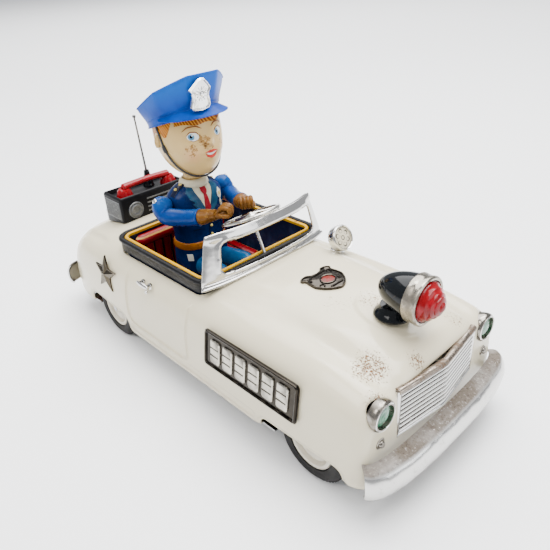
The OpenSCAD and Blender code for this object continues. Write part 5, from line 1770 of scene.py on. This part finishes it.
palm = tube(smooth_path([at_fist(-5.4, 0, -0.3), at_fist(-3.4, 0, 0), at_fist(-0.5, 0, 0.1),
                         at_fist(1.8, 0, 0)], 16),
            [2.6, 3.0, 3.2, 3.3, 3.4, 3.5, 3.5, 3.5, 3.5, 3.5, 3.4, 3.3, 3.2, 3.0, 2.6, 1.8], 20, flat=0.62)
fingers = [finger(s, r, reach) for s, r, reach in ((-2.55, 1.0, 2.7), (-0.85, 1.1, 3.2), (0.85, 1.12, 3.3),
                                                   (2.55, 1.05, 3.0))]
thumb = tube(smooth_path([at_fist(-3.6, 2.6, 0.2), at_fist(-1.6, 3.6, -0.2), at_fist(0.8, 3.4, -1.4),
                          at_fist(2.2, 2.4, -2.2)], 14),
             [1.3, 1.4, 1.4, 1.35, 1.3, 1.25, 1.2, 1.2, 1.2, 1.2, 1.15,
                                                          1.1, 0.9, 0.5], 12)
gauntlet_path = np.linspace((-16.6, -13.3, 75.7), (-8.6, -9.3, 77.9), 20)
gauntlet_r = np.interp(np.linspace(0, 1, 20), [0, 0.06, 0.5, 0.62, 0.68, 1],
                       [4.0, 4.25, 3.75, 3.45, 3.2, 2.9])
gauntlet = tube(gauntlet_path, gauntlet_r, 28, flat=0.92)
welt = [closed_tube(gauntlet_path[i] + gauntlet_r[i] * np.array(
    [np.cos(a) * GRIP_SIDE + 0.92 * np.sin(a) * GRIP_UP for a in circle_angles(28)]), 0.24, 6,
    up=tuple(GRIP_AHEAD)) for i in (2, 12)]
glove = joined(palm, *fingers, thumb, gauntlet, *welt)
piece("right_gauntlet", glove, glove_brown, "right_arm_body", ["right_glove"], 50)
piece("left_gauntlet", mirrored(glove), glove_brown, "left_arm_body", ["left_glove"], 50)
# painted shade: dark brown lines laid in the gaps between the fingers, where shade falls
finger_gap_shade = printed("finger_gap_shade", (0.035, 0.016, 0.008), (0.02, 0.01, 0.005), seed=111)
gaps = [tube(smooth_path([at_fist(-0.6, s, 2.35), at_fist(1.6, s, 2.0), at_fist(2.75, s, 0.2),
                          at_fist(2.0, s, -1.5)], 12), 0.42, 6, up=tuple(GRIP_SIDE)) for s in (-1.7, 0, 1.7)]
piece("right_finger_lines", joined(*gaps), finger_gap_shade, "right_arm_body", ())
piece("left_finger_lines", mirrored(joined(*gaps)), finger_gap_shade, "left_arm_body", ())
print("four fingers and a thumb on each glove")


# %% [markdown]
# ## Head and cap
#
# The head is a doll's: an egg that narrows to the chin, moulded with a button nose, round cheeks and a
# smile, then printed with eyes, brows and lips. Nose and cheeks are soft bumps added to the egg's rule.
# The printed features are thin patches laid on that surface, because print on a curved form has to
# follow it exactly.

# %% Head
HEAD_ROWS = [(91.6, -33.8, 5.2, 4.8), (92.5, -33.8, 8.4, 7.4), (94.6, -34.4, 11.4, 10.2),
             (98.0, -35.2, 14.2, 12.8),
             (102.0, -36.0, 16.2, 14.7), (106.8, -36.6, 17.4, 16.0), (111.5, -37.0, 17.7, 16.5),
             (117.6, -37.3, 17.1, 16.3), (123.0, -38.0, 15.6, 15.0)]
HEAD_CENTRE, HEAD_DEPTH, HEAD_HALF = ([(r[0], r[i]) for r in HEAD_ROWS] for i in (1, 2, 3))
FACE_Y = -0.8
BUMPS = [(FACE_Y - 0.4, 110.6, 2.3, 2.4, 2.3), (FACE_Y - 2.0, 109.5, 1.1, 1.0, 0.7),
         (FACE_Y + 1.2, 109.5, 1.1, 1.0, 0.7),
         (FACE_Y - 7.8, 105.6, 3.8, 3.4, 0.9), (FACE_Y + 7.8, 105.6, 3.8, 3.4, 0.9),
         (FACE_Y, 96.4, 3.4, 2.4, 0.9),
         (FACE_Y - 7.0, 113.8, 2.7, 1.9, -0.6), (FACE_Y + 7.0, 113.8, 2.7, 1.9, -0.6),
         (FACE_Y + 0.8, 105.4, 3.2, 0.8, 0.4),
         (FACE_Y + 0.8, 102.3, 2.6, 0.8, 0.55), (FACE_Y + 0.8, 104.0, 3.6, 0.5, -0.4),
         (FACE_Y - 6.6, 116.4, 2.8, 0.9, 0.35), (FACE_Y + 6.6, 116.4, 2.8, 0.9, 0.35)]


def face_bumps(y, z):
    return sum(h * np.exp(-((y - y0) / sy) ** 2 - ((z - z0) / sz) ** 2) for y0, z0, sy, sz, h in BUMPS)


def head_point(a, z, lift=0.0):
    centre, depth, half = (follow(t, z) for t in (HEAD_CENTRE, HEAD_DEPTH, HEAD_HALF))
    y = half * np.sin(a)
    out = lift + face_bumps(y, z) * (np.cos(a) > 0)
    return np.stack([centre + (depth + out) * np.cos(a), (half + lift) * np.sin(a), z + 0 * a], -1)


def on_face(y, z, lift=0.0):
    half = follow(HEAD_HALF, z)
    return head_point(np.arcsin((y / half).clip(-0.999, 0.999)), z, lift)


def face_patch(outline, lift, thick=0.25):
    """A printed feature: an outline of (y, z) filled towards its middle."""
    outline = np.asarray(outline, float)
    middle = outline.mean(0)
    rings = []
    for k, up in ((1.0, lift - thick), (1.0, lift - 0.04), (0.96, lift), (0.66, lift + 0.01),
                  (0.33, lift + 0.02),
                  (0.02, lift + 0.02)):
        o = middle + (outline - middle) * k
        rings.append(on_face(o[:, 0], o[:, 1], up))
    return lofted(rings)


def oval_outline(y, z, half_y, half_z, steps=28):
    a = circle_angles(steps)
    return np.column_stack([y + half_y * np.cos(a), z + half_z * np.sin(a)])


def face_line(points, radius, lift=0.1):
    points = smooth_path(np.column_stack([np.asarray(points, float), np.zeros(len(points))]), 18)
    line = on_face(points[:, 0], points[:, 1], lift)
    return tube(line, radius * np.interp(np.linspace(0, 1, 18), [0, 0.2, 0.8, 1], [0.3, 1, 1, 0.3]), 6,
                up=(1, 0, 0))


skin = Finish("doll_skin", (0.56, 0.38, 0.15), 0.26, Coat_Weight=0.08, Specular_IOR_Level=0.2)
axes = skin.axes()
for side in (-1, 1):
    skin.paint(near(skin, axes, (-24, side * 7.5, 105), 6.5) * 0.4, (0.72, 0.33, 0.20))
worn = skin.noise(1.8, detail=5, roughness=0.7, seed=5)
patch = near(skin, axes, (-19, -3.5, 111), 6.0)
for middle, reach, strength in (((-22.5, -9.5, 107.5), 5.5, 0.85), ((-22.5, 6.5, 108.5), 4.5, 0.75),
                                ((-19.5, 0, 107.8), 4, 0.7)):
    patch = patch.over(near(skin, axes, middle, reach) * strength)
wear = (worn + patch * 0.26).above(0.66, 0.74)
skin.paint(wear * 0.85, (0.26, 0.125, 0.03))
skin.paint((worn + patch * 0.18).above(0.72, 0.78), (0.08, 0.035, 0.010))
skin.paint(skin.noise(6, detail=3, seed=7).above(0.55, 0.8) * 0.35, (0.52, 0.40, 0.21))
skin.set(Roughness=0.22 + wear * 0.5)
skin.bump(1 - wear, 0.06)
skin.bump(skin.noise(4, detail=2, seed=11), 0.08)

head_z = np.concatenate([np.linspace(91.6, 94, 12)[:-1], np.linspace(94, 123, 80)])
head_a = circle_angles(150)
head = lofted([head_point(head_a, np.full(150, z)) for z in head_z])
neck = turned([(4.9, 87.1), (5.0, 87.3), (5.0, 92.0), (3.0, 93.0), (2.2, 93.0), (2.2, 87.1), (4.9, 87.1)], 40,
              "z",
              (-38, 0, 0))


def ear(side):
    dish = turned([(0.001, 0.3), (1.1, 0.35), (1.6, 1.0), (2.1, 1.5), (2.5, 1.3), (2.7, 0.5), (2.5, -0.6),
                   (0.001, -0.9)], 32, "y")
    points = dish[0] * (0.72, -side, 1.25)
    points[:, 0] += points[:, 2] * 0.16
    return points + (-39.6, side * 15.9, 110.4), dish[1]


piece("driver_face", joined(head, neck, ear(-1), ear(1)), skin, "head", ["driver_head"], 60)

# %% Printed face
eye_white = printed("eye_white", (0.72, 0.74, 0.72), (0.60, 0.62, 0.62), seed=121)
iris_blue = printed("iris_blue", (0.10, 0.24, 0.36), (0.05, 0.14, 0.26), seed=131)
pupil_black = printed("pupil_black", (0.008, 0.008, 0.012), (0.01, 0.01, 0.01), seed=141)
brow_brown = printed("brow_brown", (0.22, 0.075, 0.018), (0.10, 0.03, 0.01), seed=151)
lip_red = printed("lip_red", (0.50, 0.045, 0.030), (0.34, 0.02, 0.02), seed=161)
hair_orange = printed("hair_orange", (0.46, 0.14, 0.006), (0.22, 0.05, 0.004), seed=171)
EYE_Y, EYE_Z, LOOK = 7.0, 113.6, 0.7
eye_places = [(FACE_Y - EYE_Y, EYE_Z), (FACE_Y + EYE_Y, EYE_Z)]
whites = [face_patch(oval_outline(y, z, 2.5, 2.05), 0.10) for y, z in eye_places]
irises = [face_patch(oval_outline(y - LOOK, z - 0.1, 1.35, 1.45), 0.17) for y, z in eye_places]
pupils = [face_patch(oval_outline(y - LOOK, z, 0.6, 0.7), 0.23) for y, z in eye_places]
glints = [face_patch(oval_outline(y - 0.2, z + 0.6, 0.32, 0.34, 12), 0.28) for y, z in eye_places]
piece("eye_whites", joined(*whites, *glints), eye_white, "head", ())
piece("eye_irises", joined(*irises), iris_blue, "head", ())
piece("eye_pupils", joined(*pupils), pupil_black, "head", ())
LID = [(-2.6, 0.5), (-1.2, 2.0), (0.7, 2.2), (2.6, 0.5)]
BROW = [(-4.4, 3.3), (-1.6, 4.6), (1.4, 4.4), (3.9, 2.7)]
UNDER = [(-1.9, -1.5), (0, -2.15), (1.9, -1.4)]
lines = [face_line([(FACE_Y + s * (EYE_Y + y), EYE_Z + z) for y, z in shape], radius)
         for shape, radius in ((LID, 0.28), (BROW, 0.32), (UNDER, 0.13)) for s in (-1, 1)]
piece("brows_and_lids", joined(*lines), brow_brown, "head", ())
MOUTH = FACE_Y + 0.9
upper_lip = [(MOUTH - 3.9, 105.3), (MOUTH - 2.0, 105.8), (MOUTH - 0.7, 106.2), (MOUTH, 105.9),
             (MOUTH + 0.7, 106.2),
             (MOUTH + 2.0, 105.8), (MOUTH + 3.9, 105.3), (MOUTH + 2.0, 104.9), (MOUTH, 104.6),
             (MOUTH - 2.0, 104.9)]
lower_lip = [(MOUTH - 3.5, 104.8), (MOUTH - 1.8, 103.7), (MOUTH, 103.4), (MOUTH + 1.8, 103.7),
             (MOUTH + 3.5, 104.8),
             (MOUTH + 2.4, 102.9), (MOUTH, 102.0), (MOUTH - 2.4, 102.9)]
teeth = [(MOUTH - 2.9, 104.9), (MOUTH, 104.8), (MOUTH + 2.9, 104.9), (MOUTH + 1.7, 103.8), (MOUTH, 103.4),
         (MOUTH - 1.7, 103.8)]


def face_band(top, bottom, lift):
    """A feature between two lines of (y, z), followed from one corner to the other."""
    top, bottom = (smooth_path(np.column_stack([np.asarray(line, float), np.zeros(len(line))]), 24)[:, :2]
                   for line in (top, bottom))
    rings = []
    for t, b in zip(top, bottom):
        line = b + (t - b) * np.linspace(0, 1, 6)[:, None]
        front, back = (on_face(line[:, 0], line[:, 1], up) for up in (lift, lift - 0.3))
        rings.append(np.vstack([front, back[::-1]]))
    return lofted(rings)


piece("mouth_teeth", face_band(teeth[:3], [teeth[0], teeth[5], teeth[4], teeth[3], teeth[2]], 0.1), eye_white,
      "head",
      ())
piece("mouth_lips", joined(face_band(upper_lip[:7], [upper_lip[0], *upper_lip[:6:-1], upper_lip[6]], 0.22),
                           face_band(lower_lip[:5], [lower_lip[0], *lower_lip[:4:-1], lower_lip[4]], 0.25)),
      lip_red, "head", ())

# %% Hair and chin strap
HAIR_TURN = [62, 68, 74, 80, 86, 104, 130, 180]
HAIR_LOW = [120.0, 116.4, 113.4, 113.0, 114.8, 114.2, 108, 104]
hair_a = np.radians(np.linspace(62, 298, 130))
turn = np.degrees(hair_a)
hair_low = np.interp(turn, HAIR_TURN, HAIR_LOW)
hair_low = np.where(turn > 180, np.interp(360 - turn, HAIR_TURN, HAIR_LOW), hair_low)
streak_lift = 0.42 + 0.10 * np.sin(turn * 1.9)
hair_rings = []
for a, low, up in zip(hair_a, hair_low, streak_lift):
    z = np.linspace(low, 121.5, 16)
    outer = head_point(np.full(16, a), z, up * np.sqrt(np.linspace(0.1, 1, 16)))
    inner = head_point(np.full(16, a), z, -0.3)
    hair_rings.append(np.vstack([outer, inner[::-1]]))
strands = hair_orange.node("ShaderNodeTexWave", {"wave_type": "BANDS", "bands_direction": "DIAGONAL"},
                           {"Vector": hair_orange.place, "Scale": 320, "Distortion": 3.0, "Detail": 3})
hair_orange.paint(strands.above(0.6, 0.8) * 0.8, (0.10, 0.03, 0.008))
hair_orange.paint(strands.above(0.15, 0.0) * 0.7, (0.70, 0.36, 0.06))
fringe_a = np.radians(np.linspace(-56, 56, 60))
fringe = lofted([np.vstack([head_point(np.full(4, a), np.linspace(119.0 + 0.35 * math.cos(9 * a), 122.4, 4),
                                       0.35),
                            head_point(np.full(4, a), np.linspace(122.4, 119.6, 4), -0.2)])
                 for a in fringe_a])
piece("driver_hair", joined(lofted(hair_rings), fringe), hair_orange, "head", (), 50)
strap_half = [(-38.6, -17.1, 119.0), (-36.6, -17.0, 114), (-34.4, -16.5, 107.5), (-31.6, -14.6, 101),
              (-28.6, -11.2, 96.0),
              (-26.6, -6.2, 92.8), (-25.9, 0, 91.6)]
strap_path = smooth_path(strap_half + [(x, -y, z) for x, y, z in strap_half[-2::-1]], 90)
strap_black = Finish("strap_black", (0.012, 0.012, 0.013), 0.45)
strap_black.paint(strap_black.noise(1, detail=4).above(0.5, 0.7) * 0.5, (0.05, 0.045, 0.04))
strap_black.bump(strap_black.noise(0.6, detail=3), 0.03)
buckles = [tube(strap_path[i - 2:i + 3], 1.0, 10, up=(1, 0, 0)) for i in (14, 75)]
piece("chin_strap_band", joined(tube(strap_path, 0.48, 10, up=(1, 0, 0), flat=1.3), *buckles), strap_black,
      "head",
      ["chin_strap"], 50)
print("head", round(float(HEAD_ROWS[-1][0] - HEAD_ROWS[0][0]), 1), "mm tall under the cap")

# %% [markdown]
# The cap is folded from eight printed panels, so its crown is an oval with eight slightly flattened
# sides. It stands up in front, where the badge is, and slopes down behind. The band follows the head,
# and the visor is a curved blade, thin at its edge.

# %% Cap
cap_blue = printed("cap_blue", (0.0, 0.050, 0.33), (0.0, 0.026, 0.20), seed=181, gloss=0.34)
cap_axes = cap_blue.axes()
# painted highlight: the crown is painted lighter blue towards its top, starting lower at the back
cap_blue.paint((cap_axes[2] - cap_axes[0] * 0.2 - 131).above(0, 12) * 0.6, (0.0, 0.115, 0.52))
rubbed = cap_blue.noise(1.5, detail=5, seed=7).above(0.45, 0.62) * cap_axes[0].above(-54.5, -58.5)
cap_blue.paint(rubbed * 0.8, (0.42, 0.42, 0.40))
CAP_X = -38.8
CAP_OVAL = 0.97            # the crown is a little narrower along the car than across it
CAP_STEPS = [(-0.03, 17.8), (0.0, 17.95), (0.14, 18.0), (0.24, 18.1), (0.27, 18.4), (0.45, 19.4),
             (0.65, 20.6),
             (0.85, 21.6), (0.96, 22.0), (1.0, 22.0)]
CAP_TOP = [(21.5, 0.25), (19.5, 0.35), (14.0, 0.4), (8.0, 0.4), (0.1, 0.4)]


def cap_base(x):
    """Height of the cap's lower edge: it is worn tilted back."""
    return 118.1 + 0.32 * (x - CAP_X)


def cap_rim(x):
    """Height of the crown's edge, which slopes from a peak in front down to the back."""
    return 141.4 + 0.56 * (x - CAP_X - 19.6).clip(None, 0)


def cap_level(share, radius, over=0.0, steps=144):
    a = circle_angles(steps) + math.pi / 8
    eighth = math.pi / 4
    from_seam = (a - math.pi / 8 + eighth / 2) % eighth - eighth / 2
    flat = math.cos(eighth / 2) / np.cos(eighth / 2 - np.abs(from_seam))
    faceted = fade(np.array(float(share)), 0.2, 0.7)
    r = radius * (1 - faceted * 0.75 * (1 - flat))
    r = r - faceted * 0.22 * np.exp(-(from_seam / 0.025) ** 2) * (share < 0.97)
    x = CAP_X + CAP_OVAL * r * np.cos(a)
    low, high = cap_base(x), cap_rim(x)
    return np.column_stack([x, r * np.sin(a), low + (high - low) * share + over])


cap_shell = lofted([cap_level(*row) for row in CAP_STEPS] + [cap_level(1.0, r, over) for r, over in CAP_TOP])
piping = closed_tube(cap_level(1.0, 22.05), 0.3, 8)
band_lines = [closed_tube(cap_level(h, r), 0.2, 6) for h, r in ((0.0, 17.95), (0.25, 18.25))]
piece("cap_crown", joined(cap_shell, piping, *band_lines), cap_blue, "head", ["driver_cap"], 30)


VISOR_R, VISOR_REACH = 17.5, 6.0


def visor_section(a):
    """The visor cut at angle a from straight ahead: a short blade that flares out and thins."""
    reach = VISOR_REACH * max(math.cos(a * 1.16), 0.0) ** 0.6
    out = np.linspace(0, 1, 8)
    r = VISOR_R + out * (0.7 + reach)
    drop = -3.6 * out ** 0.85 * (0.15 + 0.85 * reach / VISOR_REACH)
    thick = 0.7 - 0.4 * out
    x, y = CAP_X + CAP_OVAL * r * math.cos(a), r * math.sin(a)
    z = cap_base(CAP_X + CAP_OVAL * VISOR_R * math.cos(a)) + 3.2 + drop
    front = np.column_stack([x, y, z])
    back = np.column_stack([x, y, z - thick])
    return np.vstack([front, back[::-1]])


visor = lofted([visor_section(a) for a in np.radians(np.linspace(-74, 74, 55))])
piece("cap_visor", visor, cap_blue, "head", (), 40)

# %% Cap badge
badge_silver = plated("badge_silver", (0.80, 0.80, 0.79), worn=0.2, seed=191, rust=0.0)
badge_silver.set(Metallic=0.35)
BADGE_HALF = [(0, 7.3), (1.6, 7.0), (3.6, 5.2), (6.0, 2.6), (5.6, 1.6), (4.6, 0.6), (4.3, -1.2), (4.9, -3.4),
              (5.3, -5.8),
              (4.6, -7.0), (2.4, -7.3), (0, -7.5)]
badge_points = np.array(BADGE_HALF + [(-y, z) for y, z in BADGE_HALF[-2:0:-1]], float)
BADGE_LEAN, BADGE_BOW = math.tan(math.radians(7)), 0.035
BADGE_X, BADGE_Y, BADGE_Z = -17.6, -3.2, 132.9


def badge_level(k, out):
    """The shield scaled by k and out of the cap, leaning with the crown."""
    y, z = (badge_points * k).T
    x = BADGE_X + out + z * BADGE_LEAN - BADGE_BOW * y * y
    return np.column_stack([x, y + BADGE_Y, BADGE_Z + z])


badge_body = lofted([badge_level(*row)
                     for row in ((0.96, -1.6), (1.0, 0.2), (0.97, 0.55), (0.86, 0.6), (0.84, 0.35),
                                                  (0.4, 0.55), (0.02, 0.6))])
badge_border = closed_tube(badge_level(0.9, 0.75), 0.3, 6, up=(1, 0, 0))
rays = []
for a in np.radians(np.arange(0, 360, 30)):
    line = [(BADGE_X + 0.75 + (0.2 + s * math.sin(a)) * BADGE_LEAN - BADGE_BOW * (s * math.cos(a)) ** 2,
             BADGE_Y + s * math.cos(a), BADGE_Z + 0.2 + s * math.sin(a)) for s in (1.7, 2.5, 3.4)]
    rays.append(tube(line, [0.3, 0.22, 0.1], 6, up=(1, 0, 0)))
boss = turned([(1.3, 0.2), (1.2, 0.7), (0.7, 1.0), (0.001, 1.1)], 24, "x",
              (BADGE_X + 0.4, BADGE_Y, BADGE_Z + 0.2))
piece("cap_shield", joined(badge_body, badge_border, *rays, boss), badge_silver, "head", ["cap_badge"],
      30)
print("cap top at", round(float(cap_shell[0][:, 2].max()), 1), "mm")


# %% [markdown]
# ## Steering wheel
#
# A bent-wire steering wheel on a leaning column. Its ring, three spokes and hub are drawn flat and then
# turned onto the column's axis, which is easier than drawing them in place.

# %% Steering wheel and column
HUB = Vector((6.2, 0, 78.2))
STEER_AXIS = Vector((-0.411, 0, 0.9115)).normalized()
steer_place = Matrix.Translation(HUB) @ STEER_AXIS.to_track_quat("Z", "Y").to_matrix().to_4x4()
rim_chrome = plated("rim_chrome", (0.60, 0.58, 0.54), worn=0.7, seed=201, rust=0.45)
STEER_R, WIRE_R = 14.2, 0.9
ring_a = circle_angles(96)
ring_line = np.column_stack([STEER_R * np.cos(ring_a), STEER_R * np.sin(ring_a), 0 * ring_a])
spokes = []
for turn_deg in (30, 150, 270):
    c, s = math.cos(math.radians(turn_deg)), math.sin(math.radians(turn_deg))
    spokes.append(tube([(r * c, r * s, z) for r, z in ((1.5, 0.9), (4, 0.75), (8, 0.2), (13.8, 0))],
                       [1.15, 1.0, 0.8, 0.75], 10, flat=0.55))
hub_dome = turned([(3.3, -0.9), (3.5, -0.3), (3.3, 0.3), (2.6, 1.0), (2.3, 1.1), (2.1, 0.9), (1.6, 1.5),
                   (0.9, 1.9),
                   (0.001, 2.0)], 36)
under_dome = turned([(3.3, -0.9), (1.6, -1.4), (0.001, -1.4)], 36)
wheel_shape = moved(joined(closed_tube(ring_line, WIRE_R, 12), *spokes, hub_dome, under_dome), steer_place)
piece("steering_ring", wheel_shape, rim_chrome, "steering", ["steering_wheel"], 40)
print("steering wheel", round(2 * (STEER_R + WIRE_R), 1), "mm across")


# %% [markdown]
# ## Wheels
#
# Each tyre is a rubber ring with a fine saw-tooth tread. One tread block is drawn at the top of the
# wheel, and the ring tree sets the copies round the axle. The hub is a painted disc with a raised ring
# next to the tyre and a small dome over the axle's end.

# %% Tyres and hubs
rubber = Finish("tyre_rubber", (0.010, 0.009, 0.009), 0.55, Specular_IOR_Level=0.2)
rubber.paint(rubber.noise(8, detail=4, seed=3).above(0.5, 0.72) * 0.5, (0.030, 0.026, 0.022))
rubber.bump(rubber.noise(0.8, detail=4), 0.05)
rubber.set(Roughness=0.5 + rubber.noise(5, seed=9) * 0.25)
hub_cream = enamel("hub_cream", (0.66, 0.61, 0.50), [], even=0.6, seed=211)
TREAD_BLOCKS, TREAD_R = 54, 16.4
WHEEL_Y = 42.0              # middle of each tyre, from the middle of the car
tyre_section = [(10.0, -4.0), (12.6, -4.1), (13.0, -4.3), (14.4, -4.3), (15.0, -4.0), (15.9, -3.4),
                (16.35, -2.9),
                (16.4, 2.9), (15.9, 3.4), (15.0, 4.0), (14.4, 4.3), (13.0, 4.3), (12.6, 4.1), (11.2, 4.0),
                (10.9, 3.4),
                (10.9, 2.3), (10.0, 2.3), (10.0, -4.0)]
hub_section = [(0.001, 3.9), (1.4, 3.8), (2.4, 3.3), (3.0, 2.4), (3.4, 2.0), (4.3, 1.9), (5.6, 2.3),
               (7.0, 2.5),
               (7.5, 2.3), (7.8, 1.7), (8.2, 1.7), (8.5, 2.6), (8.9, 3.6), (9.6, 3.95), (10.4, 3.7),
               (10.8, 3.0),
               (10.8, 2.4), (9.9, 2.35), (9.9, -3.9), (9.2, -4.0), (8.4, -3.2), (4, -2.8), (3, -3.9),
               (1.3, -4),
               (1.3, -2.2), (0.001, -2.2)]
half_pitch = math.pi * TREAD_R / TREAD_BLOCKS
tooth = [(-3.2, 15.9), (-2.7, 16.95), (2.7, 16.95), (3.2, 15.9)]
tread_unit = lofted([[(-half_pitch * 0.62, y, z) for y, z in tooth],
                     [(half_pitch * 0.1, y * 1.02, z) for y, z in tooth],
                     [(half_pitch * 0.62, y * 1.02, z - 0.35) for y, z in tooth]])


def whole_axle(shape, middle):
    """A wheel's shape on both ends of its axle, its outboard side turned out."""
    left = shifted(shape, middle)
    return joined(mirrored(left), left)


def outboard(section, steps):
    return turned([(r, -h) for r, h in section], steps, "y")


for where, wheel_mid in (("rear", rear_wheel), ("front", front_wheel)):
    body = where + "_wheels"
    middle = (float(wheel_mid[0]), WHEEL_Y, float(wheel_mid[2]))
    tread = repeated(where + "_tread", "ring", tread_unit, rubber, Count=TREAD_BLOCKS, Axis=(0, 1, 0),
                     Middle=(0, 0, 0))
    tyre = joined(outboard(tyre_section, 108), tread)
    piece(where + "_tyre_rings", whole_axle(tyre, middle), rubber, body, [where + "_tyres"], 30)
    piece(where + "_hub_discs", whole_axle(outboard(hub_section, 72), middle), hub_cream, body,
          [where + "_hubs"], 30)
print("tread blocks on each tyre:", TREAD_BLOCKS)


# %% [markdown]
# ## Underside and drive
#
# The base, the battery door and the drive keep the CAD solids, because they are made by the same dies and
# fit to the tenth of a millimetre. They get the finish of the real metal: tinplate with its crystal
# pattern and finger marks, blued steel, brass and card. Screw heads are one shape set on six spots.

# %% Finishes of the works
tinplate = plated("tinplate", (0.55, 0.545, 0.53), worn=0.5, seed=221, rust=0.35)
spangle = tinplate.node("ShaderNodeTexVoronoi", {"feature": "F1"}, {"Vector": tinplate.place, "Scale": 240})
tinplate.paint(spangle.above(0.3, 0.9) * 0.25, (0.36, 0.36, 0.355))
motor_steel = plated("motor_steel", (0.46, 0.47, 0.49), worn=0.3, seed=231, rust=0.1)
brass = plated("gear_brass", (0.62, 0.44, 0.16), worn=0.4, seed=241, rust=0.0)
copper = plated("contact_brass", (0.66, 0.50, 0.22), worn=0.25, seed=251, rust=0.0)
shaft_steel = plated("shaft_steel", (0.52, 0.52, 0.53), worn=0.3, seed=261, rust=0.3)
cell_wrap = Finish("cell_wrap", (0.055, 0.10, 0.27), 0.35, Coat_Weight=0.3)
cell_wrap.paint(cell_wrap.noise(5, detail=3).above(0.5, 0.7) * 0.5, (0.08, 0.14, 0.33))
cell_wrap.paint(cell_wrap.noise(1.2, detail=5).above(0.66, 0.70), (0.30, 0.29, 0.27))
cell_wrap.bump(cell_wrap.noise(1.2, detail=4), 0.03)
WORKS = {tinplate: ("base_plate", "battery_door", "gearbox_plates", "battery_box"),
         motor_steel: ("motor_can",), cell_wrap: ("battery_cells",), copper: ("battery_contacts",),
         brass: ("axle_gear", "idler_gear", "motor_pinion"), rim_chrome: ("steering_column",),
         shaft_steel: ("rear_axle", "front_axle", "switch_lever")}
for finish, names in WORKS.items():
    for name in names:
        refinish(bpy.data.objects[name], finish)
print("works finished:", ", ".join(name for names in WORKS.values() for name in names))
left = [o.name for o in bpy.data.objects if o.type == "MESH" and not o.hide_render and o.data.materials
        and not o.data.materials[0].use_nodes]
print("left plain:", left)

# %% Screw heads
SCREW_SPOTS = [(x, side * y, 11.9) for x, y in ((-108, 30), (-38, 40), (104, 24)) for side in (-1, 1)]
spots = plain_object("screw_spots", (np.array(SCREW_SPOTS), []))
slot_half = 0.35
dome_a = circle_angles(32)
head_rings = []
for radius, z in ((2.5, 0.75), (2.6, 0.2), (2.4, -0.2), (1.8, -0.55), (1.0, -0.68), (0.05, -0.7)):
    x, y = radius * np.cos(dome_a), radius * np.sin(dome_a)
    cut = (np.abs(y) < slot_half) & (z < 0.1)
    head_rings.append(np.column_stack([x, y, np.where(cut, 0.1, z)]))
screw_unit = lofted(head_rings)
screws = repeated("base_screws", "spots", screw_unit, shaft_steel, Spots=spots)
bpy.data.objects.remove(spots)
piece("base_screw_heads", screws, shaft_steel, stands_for=["base_screws"], crease=30)
print("screws:", len(SCREW_SPOTS))
